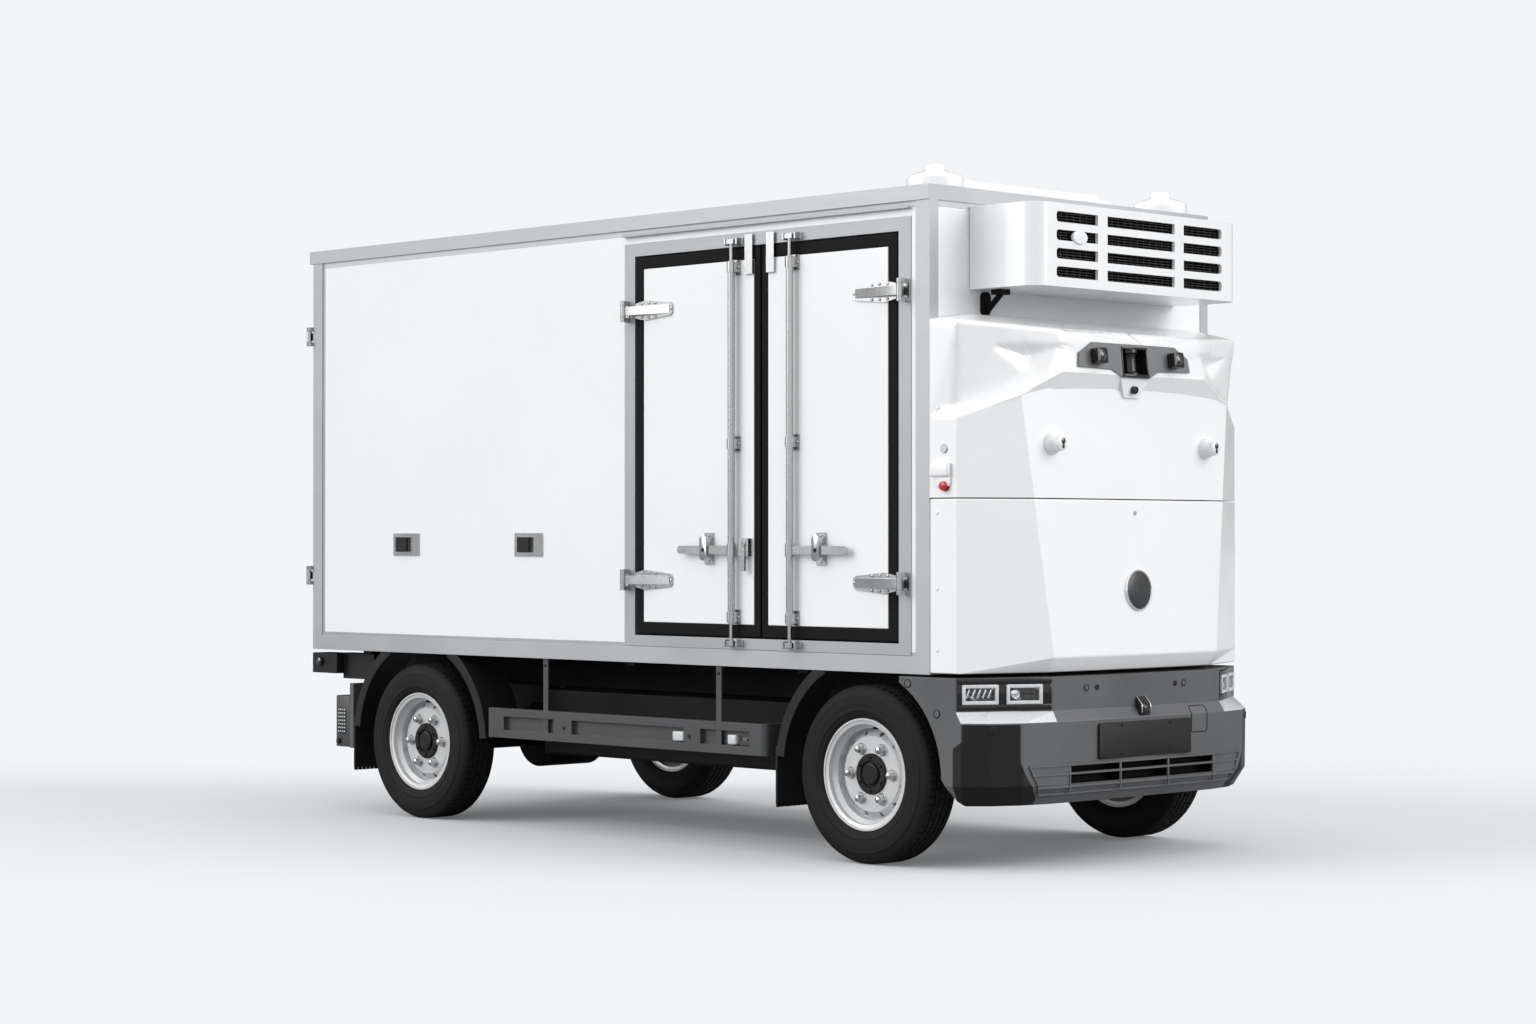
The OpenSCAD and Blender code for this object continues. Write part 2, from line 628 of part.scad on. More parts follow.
// Columns of slots: inner end, outer end, with round outer corners
SLOT_COLS = [[-268, -516, true], [-210, 210, false], [268, 516, true]];
slot_r = 14;
module slot(c, z) {
  e = sign(c[1]);
  far = c[1] - (c[2] ? e * slot_r : 0);
  translate([x1 + unit_d - 40, 0, z]) {
    slab([0, min(c[0], far), 0], [45, max(c[0], far), slot_h]);
    if (c[2]) {
      slab([0, min(far - e, c[1]), slot_r], [45, max(far - e, c[1]), slot_h - slot_r]);
      for (v = [slot_r, slot_h - slot_r])
        translate([0, far, v]) rotate([0, 90, 0]) cylinder(r = slot_r, h = 45);
    }
  }
}
module cooling_shell() {
  color(white) difference() {
    rounded_unit(0);
    rounded_unit(14);
    for (i = [0:3], c = SLOT_COLS) slot(c, unit_z + unit_h - 32 - slot_h - i * slot_pitch);
  }
}
module cooling_core() {
  color(black) union() {
    slab([x1, -540, unit_z + 14], [x1 + unit_d - 46, 540, unit_z + unit_h - 14]);
    for (i = [-13:13]) translate([x1 + unit_d, i * 39, unit_z])
      slab([-60, -2, 30], [-22, 2, unit_h - 26]);
  }
}
module cooling_pipe() {
  color(black) {
    // wall plate, leaning pipe and flange under the unit
    translate([x1 - trim_t, -549, 0]) {
      slab([0, -22, 2160], [18, 22, 2208]);
      for (z = [2160, 2208]) translate([0, 0, z]) rotate([0, 90, 0]) cylinder(r = 22, h = 18);
      translate([18, 0, 2156]) rotate([0, 48, 0]) cylinder(r = 12, h = 92);
      slab([62, -28, unit_z - 20], [112, 28, unit_z]);
    }
  }
}

// Roof
module roof_pods() {
  color(white) for (s = [-1, 1]) translate([front_axle_x + 235, s * (yb - 165), z1])
    rotate_extrude() polygon([[0, 0], [112, 0], [112, 36], [110, 43], [104, 49], [92, 55], [50, 70], [42, 74],
      [40, 86], [36, 94], [28, 97], [0, 97]]);
}
module roof_hatch() {
  color(white) translate([front_axle_x - 420, 0, pz1]) union() {
    slab([0, -455, 0], [600, 455, 49]);
    slab([40, -420, 49], [560, 420, 74]);
  }
}

// Chassis
tail = x0 + 62;
bracket_xs = [rear_axle_x + 885, front_axle_x - 823];
outrigger_xs = [tail + 340, rear_axle_x + 215, bracket_xs[0], (bracket_xs[0] + bracket_xs[1]) / 2,
  bracket_xs[1], front_axle_x - 345];
cross_xs = [tail + 50, rear_axle_x - 250, rear_axle_x + 250, front_axle_x - 560, front_axle_x + 330];
function bumper_inner(y) = let (b = BUMPER[3]) front_axle_x + lerp(b[9], b[7], y / b[8]) - bumper_t;
module frame_rails() {
  color(black) both_sides()
    slab([tail, frame_y - rail_w, rail_z], [bumper_inner(frame_y) - 0.3, frame_y, rail_z + rail_h]);
}
tow_r = 14;
module frame_crossmembers() {
  inner = frame_y - rail_w;
  low = rail_z + 12;
  high = rail_z + rail_h - 12;
  color(black) {
    for (x = cross_xs) slab([x - 35, -inner, low], [x + 35, inner, high]);
    // tow bracket with a pin hole behind the last crossmember
    difference() {
      slab([tail - 60, -45, low], [tail + 40, 45, high]);
      translate([tail - 28, 0, low - 1]) cylinder(r = tow_r, h = rail_h);
    }
    // bearers between rails and box floor
    for (x = outrigger_xs) slab([x - 28, -yb + 16, rail_z + rail_h], [x + 28, yb - 16, z0]);
  }
}
module battery_pack() {
  color(dark)
    slab([rear_axle_x + battery_gap, -battery_w / 2, battery_z],
         [front_axle_x - battery_gap, battery_w / 2, rail_z]);
}
module front_axle() {
  ky = track / 2 - kingpin_in;
  color(dark) translate([front_axle_x, 0, tyre_r]) union() {
    slab([-36, -ky, -32], [36, ky, 22]);
    both_sides() {
      translate([0, ky, -32]) cylinder(r = 26, h = 54);
      translate([0, ky, -94]) cylinder(r = kingpin_r, h = 178);
      slab([-60, frame_y - 62, 0], [60, frame_y + 2, 45]);
    }
  }
}
module rear_axle() {
  color(dark) translate([rear_axle_x, 0, tyre_r]) union() {
    rotate([90, 0, 0]) cylinder(r = 52, h = track - 180, center = true);
    rotate([90, 0, 0]) cylinder(r = spindle_r, h = track + 56, center = true);
    rotate([90, 0, 0]) cylinder(r = 150, h = 300, center = true);
    // drive motor
    translate([215, 0, 40]) rotate([90, 0, 0]) cylinder(r = 125, h = 500, center = true);
    both_sides() {
      translate([0, track / 2 - 80, 0]) rotate([90, 0, 0]) cylinder(r = 150, h = 10);
      slab([-60, frame_y - 62, 0], [60, frame_y + 2, 62]);
    }
  }
}
// Leaf springs: axle x, seat height, half length, end height
SPRINGS = [[front_axle_x, tyre_r + 45, 470, 96], [rear_axle_x, tyre_r + 62, 520, 92]];
function rise(s, x) = s[3] * pow(x / s[2], 2);
module leaf_springs() {
  color(black) both_sides() for (s = SPRINGS) {
    half = s[2];
    for (leaf = [0:2]) {
      reach = half * (1 - 0.24 * leaf);
      low = s[1] + 24 - 10 * leaf;
      xz_plate(concat(
        [for (i = [-10:10]) let (x = reach * i / 10) [s[0] + x, low + rise(s, x)]],
        [for (i = [10:-1:-10]) let (x = reach * i / 10) [s[0] + x, low + 12 + rise(s, x)]]),
        frame_y - 60, frame_y);
    }
    slab([s[0] - 55, frame_y - 60, s[1]], [s[0] + 55, frame_y, s[1] + 30]);
    for (e = [-1, 1]) slab([s[0] + e * (half - 20) - 20, frame_y - 60, s[1] + 24 + rise(s, half - 40)],
      [s[0] + e * (half - 20) + 20, frame_y, rail_z]);
  }
}
// Steered ends: yoke on the kingpin, brake plate, spindle, steering arm with a ball pin
module knuckle(side) {
  color(dark) translate([front_axle_x, side * track / 2, tyre_r]) scale([1, side, 1]) difference() {
    union() {
      for (z = [-94, 24]) {
        translate([0, -kingpin_in, z]) cylinder(r = 30, h = 60);
        slab([-30, -kingpin_in, z], [30, -80, z + 60]);
      }
      slab([-30, -90, -94], [30, -80, 84]);
      translate([0, -80, 0]) rotate([90, 0, 0]) cylinder(r = 150, h = 6);
      translate([0, 28, 0]) rotate([90, 0, 0]) cylinder(r = spindle_r, h = 114);
      slab([-steer_arm, -kingpin_in - 15, -94], [0, -kingpin_in + 15, -72]);
      translate([-steer_arm, -kingpin_in, -94]) cylinder(r = 15, h = 22);
      translate([-steer_arm, -kingpin_in, -128]) cylinder(r = 8, h = 50);
    }
    translate([0, -kingpin_in, -100]) cylinder(r = kingpin_r + pin_clear, h = 200);
  }
}
module knuckle_left() { knuckle(1); }
module knuckle_right() { knuckle(-1); }
module tie_rod() {
  ey = track / 2 - kingpin_in;
  color(steel) translate([front_axle_x - steer_arm, 0, tyre_r - 112]) difference() {
    union() {
      rotate([90, 0, 0]) cylinder(r = 11, h = 2 * ey - 20, center = true);
      both_sides() translate([0, ey, -13]) cylinder(r = 17, h = 26);
    }
    both_sides() translate([0, ey, -30]) cylinder(r = 8 + pin_clear, h = 60);
  }
}
module at_wheel(w) { translate([w[1], w[2] * track / 2, tyre_r]) rotate([-90 * w[2], 0, 0]) children(); }
groove_ws = [42, 0, -42];
module tyre(w) {
  side_pts = [[rim_r + 0.3, 69], [rim_r + 18, 69], [rim_r + 20, 82], [rim_r + 45, tyre_hw - 3],
    [rim_r + 70, tyre_hw], [tyre_r - 42, tyre_hw - 3], [tyre_r - 18, tyre_hw - 10], [tyre_r - 6, tyre_hw - 20],
    [tyre_r, tyre_hw - 32]];
  color(black) at_wheel(w) rotate_extrude($fn = 72) polygon(concat(side_pts,
    [for (g = groove_ws) each [[tyre_r, g + 4], [tyre_r - 7, g + 3], [tyre_r - 7, g - 3], [tyre_r, g - 4]]],
    [for (i = [len(side_pts) - 1:-1:0]) [side_pts[i].x, -side_pts[i].y]]));
}
module wheel(w) {
  color(steel) at_wheel(w) difference() {
    union() {
      rotate_extrude($fn = 72) polygon([[220, 80], [220, 70], [rim_r, 69.7], [rim_r, 52], [186, 38], [186, -38],
        [rim_r, -52], [rim_r, -69.7], [220, -70], [220, -80], [213, -80], [211, -76], [rim_r - 6, -74],
        [rim_r - 6, -54], [180, -40], [180, 40], [rim_r - 6, 54], [rim_r - 6, 74], [211, 76], [213, 80]]);
      rotate_extrude($fn = 72) polygon([[81, 25], [143, 25], [170, -4], [182, -8], [182, 6], [176, 8],
        [148, 35], [81, 35]]);
      for (i = [0:nuts - 1]) rotate([0, 0, i * 360 / nuts]) translate([stud_pcd / 2, 0, 30]) {
        cylinder(r = 21, h = 9);
        cylinder(r = 17, h = 27, $fn = 6);
      }
    }
    for (i = [0:vents - 1]) rotate([0, 0, (i + 0.5) * 360 / vents])
      translate([161, 0, -30]) cylinder(r = 9, h = 70, $fn = 20);
  }
}
module hub(w) {
  b = spindle_r + pin_clear;
  color(dark) at_wheel(w) rotate_extrude($fn = 72) polygon([
    [b, -74], [45, -74], [45, -27], [140, -27], [140, -74], [152, -74],
    [152, -15], [60, -15], [60, 5], [128, 5], [128, 25], [80.6, 25], [80.6, 40], [76, 45], [54, 45],
    [50, 38], [44, 38], [42, 47], [36, 50], [0, 50], [0, 31], [b, 31]]);
}

// Guards
module side_guards() {
  xa = rear_axle_x + skirt_rear;
  xb = front_axle_x - skirt_front;
  color(dark) both_sides() {
    difference() {
      union() {
        slab([xa, -yb + 4, skirt_z], [xb - 30, -yb + 44, skirt_z + skirt_h]);
        slab([xb - 31, -yb + 34, skirt_z], [xb, -yb + 130, skirt_z + skirt_h]);
        translate([xb - 30, -yb + 34, skirt_z]) cylinder(r = 30, h = skirt_h);
      }
      // recess between the clamp plates
      for (c = [[xa + 104, bracket_xs[0] + 60], [bracket_xs[0] + 178, bracket_xs[1] - 204],
        [bracket_xs[1] - 105, xb - 92]])
        slab([c[0], -yb, skirt_z + 35], [c[1], -yb + 26, skirt_z + skirt_h - 35]);
    }
    for (x = bracket_xs) slab([x - 16, -yb + 10, skirt_z + 20], [x + 16, -yb + 16, z0 - 1]);
  }
}
// Mudguard arcs: axle x, start and end angle, with flap
GUARDS = [[front_axle_x, 118, 174, true], [rear_axle_x, 118, 174, true], [rear_axle_x, 4, 62, false]];
function band(g, r) = concat(arc(r, g[1], g[2], 14), arc(guard_r + 7, g[2], g[1], 14))
  + [for (i = [0:29]) [g[0], tyre_r]];
module mudguards() {
  color(black) both_sides() for (g = GUARDS) difference() {
    union() {
      xz_plate(band(g, guard_r), -yb + 3, -yb + 3 + guard_w);
      xz_plate(band(g, guard_r - 38), -yb + 3, -yb + 9);
      if (g[3]) slab([g[0] - guard_r - 7, -yb + 3, 207], [g[0] - guard_r + 4, -yb + 3 + guard_w, tyre_r + 90]);
    }
    slab([g[0] - 700, -yb - 5, z0 - 0.3], [g[0] + 700, 0, z0 + 300]);
  }
}
module rear_bumper() {
  color(dark) union() {
    slab([TAIL_X - 60, -yb + 175, 380], [TAIL_X, yb - 175, 460]);
    slab([TAIL_X, -yb + 174, 430], [TAIL_X + 12, yb - 174, 592]);
    both_sides() {
      slab([TAIL_X, -yb + 25, 293], [TAIL_X + 28, -yb + 175, 595]);
      slab([TAIL_X, -yb + 174, 380], [TAIL_X + 28, -yb + 305, 460]);
      slab([TAIL_X - 50, -frame_y, 440], [TAIL_X - 6, -frame_y + rail_w, rail_z]);
    }
  }
}
module rear_sensor_pods() {
  color(black) both_sides() union() {
    slab([tail - 90, -yb + 20, 638], [tail + 100, -yb + 125, 732]);
    slab([tail + 90, -yb + 65, 614], [tail + 328, -yb + 120, rail_z + rail_h]);
    // side camera
    translate([tail - 26, -yb + 21, 692]) rotate([90, 0, 0]) cylinder(r = 22, h = 13);
  }
}

cargo_floor();
roof_panel();
left_wall();
right_wall();
front_wall();
edge_trims();
side_door_frame();
rear_portal();
hinge_butts();
door_catches();
nose_lower();
nose_upper();
sensor_plate();
sensor_units();
bumper();
lamps();
cooling_shell();
cooling_core();
cooling_pipe();
roof_pods();
roof_hatch();
frame_rails();
frame_crossmembers();
battery_pack();
front_axle();
rear_axle();
leaf_springs();
side_guards();
mudguards();
rear_bumper();
rear_sensor_pods();
knuckle_left();
knuckle_right();
tie_rod();
for (w = WHEELS) {
  tyre(w);
  wheel(w);
  hub(w);
}
for (d = LEAVES) {
  leaf_panel(d);
  leaf_seal(d);
  leaf_gear(d);
}
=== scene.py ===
"""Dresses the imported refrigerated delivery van: finishes, fittings and a plain studio."""
import json
import math
from collections import namedtuple

import bmesh
import bpy
from bpy.props import FloatProperty, FloatVectorProperty, IntProperty, PointerProperty
from mathutils import Matrix, Vector
from mathutils.bvhtree import BVHTree

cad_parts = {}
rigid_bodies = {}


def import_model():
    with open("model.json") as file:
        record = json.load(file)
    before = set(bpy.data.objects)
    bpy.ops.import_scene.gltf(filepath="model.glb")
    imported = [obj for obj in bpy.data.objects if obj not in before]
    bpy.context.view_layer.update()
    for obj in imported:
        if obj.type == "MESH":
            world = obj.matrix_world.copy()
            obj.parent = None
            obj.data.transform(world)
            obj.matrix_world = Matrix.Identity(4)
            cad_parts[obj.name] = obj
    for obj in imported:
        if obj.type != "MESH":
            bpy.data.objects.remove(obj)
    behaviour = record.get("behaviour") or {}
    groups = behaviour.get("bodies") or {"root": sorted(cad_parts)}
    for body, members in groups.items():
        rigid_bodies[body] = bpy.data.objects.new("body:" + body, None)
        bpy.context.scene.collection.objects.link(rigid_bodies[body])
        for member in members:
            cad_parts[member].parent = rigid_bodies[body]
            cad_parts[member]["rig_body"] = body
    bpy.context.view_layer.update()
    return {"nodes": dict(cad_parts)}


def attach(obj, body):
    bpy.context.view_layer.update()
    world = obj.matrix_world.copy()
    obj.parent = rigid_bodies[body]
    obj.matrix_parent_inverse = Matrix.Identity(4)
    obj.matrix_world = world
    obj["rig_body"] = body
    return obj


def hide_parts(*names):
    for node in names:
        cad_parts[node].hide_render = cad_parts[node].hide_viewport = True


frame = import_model()

bl_info = {
    "name": "Refrigerated van dressing",
    "version": (1, 0, 0),
    "blender": (4, 5, 0),
    "location": "3D View > Sidebar > Van",
    "description": "Finishes and small fittings for a cabless refrigerated delivery van",
    "category": "Object",
}

# Places that part.scad gives, in metres
BOX_X0, BOX_Y = -2.132, 0.865
AXLE_X, REAR_AXLE_X, WHEEL_Y, TYRE_R = 1.470, -1.330, 0.775, 0.350
STUDS, STUD_R = 6, 0.111125
DOOR_Z0, DOOR_Z1 = 0.866, 2.458
HINGE_ZS = (1.098, 2.228)
HEAD_X, HEAD_Z, HEAD_LEAN = 2.133, 1.913, math.atan2(0.018, 0.165)
LAMP_ENDS = ((AXLE_X + 0.490, 0.865), (AXLE_X + 0.678, 0.519))
LAMP_Z, LAMP_W, LAMP_H = 0.678, 0.147, 0.076
LAMP_PLACES = (0.25, 0.705)

# Door leaves, hung at x and y; the lock rod stands rod_inset from the free edge
Leaf = namedtuple("Leaf", "name x y turn mirrored width rod_inset lock_box")
LEAVES = (
    Leaf("side_rear", 0.145, -BOX_Y, 0, False, 0.760, 0.145, True),
    Leaf("side_front", 1.665, -BOX_Y, 0, True, 0.760, 0.191, False),
    Leaf("rear_right", BOX_X0, -0.800, 90, True, 0.800, 0.145, True),
    Leaf("rear_left", BOX_X0, 0.800, -90, False, 0.800, 0.191, False),
)
WHEELS = (("front_left", AXLE_X, 1), ("front_right", AXLE_X, -1),
          ("rear_left", REAR_AXLE_X, 1), ("rear_right", REAR_AXLE_X, -1))
SIDES = (-1, 1)

# Where rays that look for a surface start, in front of the van and beside it
AHEAD_X, BESIDE_Y = 3.0, 1.2
# Points of a CAD copy, or of a turned shape, nearer than this are one; thinner faces than SLIVER go
CAD_MERGE, LATHE_MERGE, SLIVER = 2e-5, 1e-6, 2e-6
# Angles in degrees: faces joined as flat, edges shaded sharp, edges rounded
FLAT, SHARP, ROUND = 0.5, 34, 28
# Tone of the empty surroundings as the camera sees them
BACKDROP = (0.896, 0.913, 0.931)


# Settings

def colour(name, description, *default):
    return FloatVectorProperty(name=name, description=description, subtype="COLOR", default=default, min=0, max=1)


def length(name, description, default, low, high):
    return FloatProperty(name=name, description=description, unit="LENGTH", default=default, min=low, max=high)


def share(name, description, default, high):
    return FloatProperty(name=name, description=description, default=default, min=0, max=high)


class VAN_PG_finishes(bpy.types.PropertyGroup):
    """Base colours of the van's finishes."""

    white_panel: colour("Panel white", "Skin of the insulated box and doors", 0.86, 0.87, 0.88)
    roof_white: colour("Roof white", "Skin of the roof, a little dull", 0.60, 0.61, 0.62)
    white_moulding: colour("Moulding white", "Nose, cooling unit and roof mouldings", 0.87, 0.875, 0.88)
    grey_aluminium: colour("Trim grey", "Edge trims of the box", 0.43, 0.44, 0.45)
    pale_frame: colour("Frame grey", "Door frames and sills", 0.39, 0.40, 0.41)
    stainless: colour("Stainless", "Hinges, lock rods and catches", 0.47, 0.475, 0.48)
    black_rubber: colour("Seal black", "Door seals and flaps", 0.0045, 0.0045, 0.005)
    black_plastic: colour("Plastic black", "Mudguards and sensor bodies", 0.011, 0.011, 0.012)
    sensor_grey: colour("Sensor plate grey", "Plate that carries the front sensors", 0.16, 0.165, 0.17)
    dark_grey_paint: colour("Bumper grey", "Bumper and fenders", 0.108, 0.110, 0.113)
    guard_grey: colour("Guard grey", "Side guards and tail boxes", 0.062, 0.063, 0.065)
    chassis_black: colour("Chassis black", "Frame, axles and springs", 0.0035, 0.0035, 0.004)
    battery_grey: colour("Battery grey", "Battery tray", 0.005, 0.005, 0.0055)
    tyre: colour("Tyre black", "Tyre rubber", 0.008, 0.008, 0.0085)
    silver_wheel: colour("Wheel silver", "Painted steel wheels", 0.60, 0.605, 0.61)
    hub_black: colour("Hub black", "Wheel hubs", 0.012, 0.012, 0.013)
    badge_dark: colour("Badge dark", "Bare badge disc and louvres", 0.035, 0.036, 0.038)
    tail_red: colour("Tail red", "Tail lamp lenses", 0.32, 0.006, 0.008)
    stop_red: colour("Stop red", "Emergency stop buttons", 0.55, 0.01, 0.012)
    backdrop: colour("Studio", "Floor of the studio", 0.627, 0.639, 0.651)


class VAN_PG_sizes(bpy.types.PropertyGroup):
    """Sizes of the edges and small fittings, and the studio's light."""

    panel_edge: length("Panel edge", "Rounding of panel edges", 0.003, 0.001, 0.01)
    metal_edge: length("Fitting edge", "Rounding of hinges and catches", 0.0018, 0.0005, 0.005)
    seal_edge: length("Seal edge", "Rounding of the door seals", 0.006, 0.001, 0.01)
    nose_edge: length("Nose crease", "Rounding of the lower nose, mesh step of the upper", 0.016, 0.004, 0.04)
    screw_r: length("Screw radius", "Radius of the hinge screws", 0.0062, 0.003, 0.01)
    rivet_r: length("Rivet radius", "Radius of the nose's rivets", 0.0075, 0.004, 0.012)
    badge_r: length("Badge radius", "Radius of the bare badge disc", 0.0815, 0.05, 0.1)
    tread_pitches: IntProperty(name="Tread pitches", description="Cross grooves round a tyre",
                               default=72, min=36, max=90)
    tread_depth: length("Tread depth", "Depth of the cross grooves", 0.005, 0.002, 0.007)
    floor_bounce: share("Floor bounce", "Share of light the floor throws back up", 0.47, 1)
    shadow_lift: share("Shadow lift", "Share of the floor's tone that its shadows keep", 0.11, 0.5)
    sky_low: share("Light at the horizon", "Strength of the studio light from the sides", 0.62, 4)
    sky_high: share("Light from above", "Strength of the studio light from above", 1.15, 4)
    side_light: share("Side light", "Strength of the soft light on the door side", 1.63, 8)
    front_light: share("Front light", "Strength of the soft light on the nose", 1.60, 8)
    camera_lens: FloatProperty(name="Lens", description="Focal length in millimetres",
                               default=72.29, min=20, max=200)


def colours():
    return bpy.context.scene.van_finishes


def sizes():
    return bpy.context.scene.van_sizes


# Finishes

class Graph:
    """The node tree of a material or a world, with short calls to add and feed nodes."""

    def __init__(self, owner, coordinates="Object"):
        owner.use_nodes = True
        self.owner, self.tree = owner, owner.node_tree
        self.place = self.node("TexCoord").outputs[coordinates]

    def feed(self, socket, value):
        """Links another node's output to a socket, or gives the socket a value of its own."""
        if isinstance(value, bpy.types.NodeSocket):
            self.tree.links.new(value, socket)
        else:
            socket.default_value = value

    def node(self, kind, inputs=(), **settings):
        made = self.tree.nodes.new("ShaderNode" + kind)
        for key, value in settings.items():
            setattr(made, key, value)
        for key, value in dict(inputs).items():
            self.feed(made.inputs[key], value)
        return made

    def set(self, **values):
        shader = self.tree.nodes["Principled BSDF"]
        for key, value in values.items():
            self.feed(shader.inputs[key.replace("_", " ")], value)

    def math(self, operation, *values):
        return self.node("Math", enumerate(values), operation=operation).outputs[0]

    def mix(self, factor, low, high):
        return self.node("Mix", {0: factor, 6: low, 7: high}, data_type="RGBA").outputs[2]

    def bump(self, height, strength, depth):
        return self.node("Bump", {"Height": height, "Strength": strength, "Distance": depth}).outputs["Normal"]

    def noise(self, scale, detail=3.0, place=None):
        return self.node("TexNoise", {"Vector": self.place if place is None else place, "Scale": scale,
                                      "Detail": detail, "Roughness": 0.55}).outputs["Fac"]

    def spread(self, source, low, high, floor=0.3, ceiling=0.7):
        return self.node("MapRange", {"Value": source, "From Min": floor, "From Max": ceiling,
                                      "To Min": low, "To Max": high}).outputs["Result"]


def rgba(tone, gain=1.0):
    return tuple(min(1.0, c * gain) for c in tone[:3]) + (1.0,)


EVEN = (1, 1, 1)
# Finish recipes: colour spread, cloud scale, roughness low and high, metal, grain scale, grain stretch,
# bump strength, bump depth, clear coat, specular level
RECIPES = {
    "white_panel": (0.012, 1.3, 0.24, 0.32, 0.0, 260, EVEN, 0.05, 0.0003, 0.15, 0.4),
    "roof_white": (0.02, 1.3, 0.36, 0.46, 0.0, 260, EVEN, 0.05, 0.0003, 0.0, 0.3),
    "white_moulding": (0.012, 2.2, 0.18, 0.28, 0.0, 420, EVEN, 0.04, 0.0003, 0.3, 0.45),
    "grey_aluminium": (0.04, 2.0, 0.34, 0.46, 0.45, 90, (0.06, 1, 1), 0.08, 0.0003, 0.0, 0.5),
    "pale_frame": (0.03, 2.0, 0.32, 0.44, 0.3, 90, (1, 1, 0.06), 0.08, 0.0003, 0.0, 0.5),
    "stainless": (0.03, 5.0, 0.20, 0.30, 1.0, 500, (1, 1, 0.15), 0.03, 0.0002, 0.0, 0.5),
    "black_rubber": (0.30, 12.0, 0.60, 0.80, 0.0, 700, EVEN, 0.20, 0.0006, 0.0, 0.14),
    "black_plastic": (0.25, 8.0, 0.42, 0.58, 0.0, 520, EVEN, 0.25, 0.0006, 0.0, 0.25),
    "gloss_black": (0.25, 14.0, 0.08, 0.16, 0.0, 300, EVEN, 0.03, 0.0002, 0.1, 0.35),
    "sensor_grey": (0.08, 20.0, 0.36, 0.48, 0.2, 900, EVEN, 0.12, 0.0003, 0.0, 0.4),
    "badge_dark": (0.15, 25.0, 0.18, 0.28, 0.1, 700, EVEN, 0.05, 0.0003, 0.2, 0.4),
    "dark_grey_paint": (0.08, 3.0, 0.32, 0.44, 0.15, 620, EVEN, 0.12, 0.0003, 0.05, 0.45),
    "guard_grey": (0.08, 3.0, 0.34, 0.46, 0.1, 620, EVEN, 0.12, 0.0003, 0.05, 0.45),
    "louvre_dark": (0.20, 12.0, 0.40, 0.55, 0.0, 420, EVEN, 0.15, 0.0004, 0.0, 0.3),
    "chassis_black": (0.30, 5.0, 0.50, 0.68, 0.0, 240, EVEN, 0.20, 0.0008, 0.0, 0.12),
    "battery_grey": (0.15, 4.0, 0.45, 0.60, 0.1, 200, (0.1, 1, 1), 0.12, 0.0005, 0.0, 0.2),
    "tyre": (0.25, 7.0, 0.62, 0.80, 0.0, 420, EVEN, 0.25, 0.0008, 0.0, 0.22),
    "silver_wheel": (0.03, 9.0, 0.30, 0.40, 0.35, 900, EVEN, 0.06, 0.0002, 0.15, 0.5),
    "hub_black": (0.30, 12.0, 0.34, 0.50, 0.1, 300, EVEN, 0.20, 0.0005, 0.0, 0.25),
    "stop_red": (0.08, 30.0, 0.22, 0.34, 0.0, 500, EVEN, 0.05, 0.0003, 0.2, 0.5),
    "tail_red": (0.10, 40.0, 0.08, 0.16, 0.0, 260, EVEN, 0.10, 0.0004, 0.5, 0.5),
}
# Finishes that take another finish's colour
COLOUR_OF = {"gloss_black": "black_plastic", "louvre_dark": "badge_dark"}


def finish(name):
    """The named finish as a procedural material on Object coordinates, made once."""
    full = "van_" + name
    if full in bpy.data.materials:
        return bpy.data.materials[full]
    g = Graph(bpy.data.materials.new(full))
    if name in SPECIAL:
        SPECIAL[name](g)
    else:
        plain(g, name)
    return g.owner


def plain(g, name):
    """A finish by its recipe: soft clouds in the colour, grain in the roughness and bump."""
    vary, cloud, low, high, metal, grain, stretch, strength, depth, coat, shine = RECIPES[name]
    tone = getattr(colours(), COLOUR_OF.get(name, name))
    clouds = g.noise(cloud, 4.0)
    drawn = g.node("Mapping", {"Vector": g.place, "Scale": stretch}).outputs["Vector"]
    fine = g.noise(grain, 2.0, drawn)
    g.set(Base_Color=g.mix(g.spread(clouds, 0.0, 1.0), rgba(tone, 1 - vary), rgba(tone, 1 + vary)),
          Roughness=g.spread(g.math("ADD", clouds, fine), low, high, 0.7, 1.3),
          Normal=g.bump(fine, strength, depth), Metallic=metal, Coat_Weight=coat, Specular_IOR_Level=shine)


def clear_lens(g):
    """Clear moulded plastic with faint flutes."""
    waves = g.node("TexWave", {"Vector": g.place, "Scale": 90.0, "Distortion": 0.4}).outputs["Fac"]
    g.set(Base_Color=(0.95, 0.96, 0.97, 1), Roughness=g.spread(g.noise(60.0), 0.02, 0.06),
          Normal=g.bump(waves, 0.05, 0.0005), Transmission_Weight=1.0, IOR=1.45)


def lamp_white(g):
    """Milky white lamp plastic with moulded cells."""
    cells = g.node("TexVoronoi", {"Vector": g.place, "Scale": 140.0}).outputs["Distance"]
    g.set(Base_Color=g.mix(g.spread(cells, 0.0, 1.0, 0.0, 0.6), (0.54, 0.55, 0.56, 1), (0.64, 0.65, 0.66, 1)),
          Roughness=g.spread(g.noise(40.0), 0.12, 0.22), Normal=g.bump(cells, 0.15, 0.0006))


def chrome(g):
    """Bright plated plastic with a faint ripple."""
    g.set(Base_Color=(0.82, 0.83, 0.84, 1), Roughness=g.spread(g.noise(300.0), 0.06, 0.14),
          Normal=g.bump(g.noise(40.0, 2.0), 0.04, 0.0006), Metallic=1.0)


def dark_lens(g):
    """Dark coated camera glass."""
    tint = g.mix(g.spread(g.noise(50.0), 0.0, 1.0), (0.004, 0.004, 0.006, 1), (0.012, 0.014, 0.024, 1))
    g.set(Base_Color=tint, Roughness=g.spread(g.noise(200.0), 0.02, 0.06), Coat_Weight=1.0, Coat_Roughness=0.02)


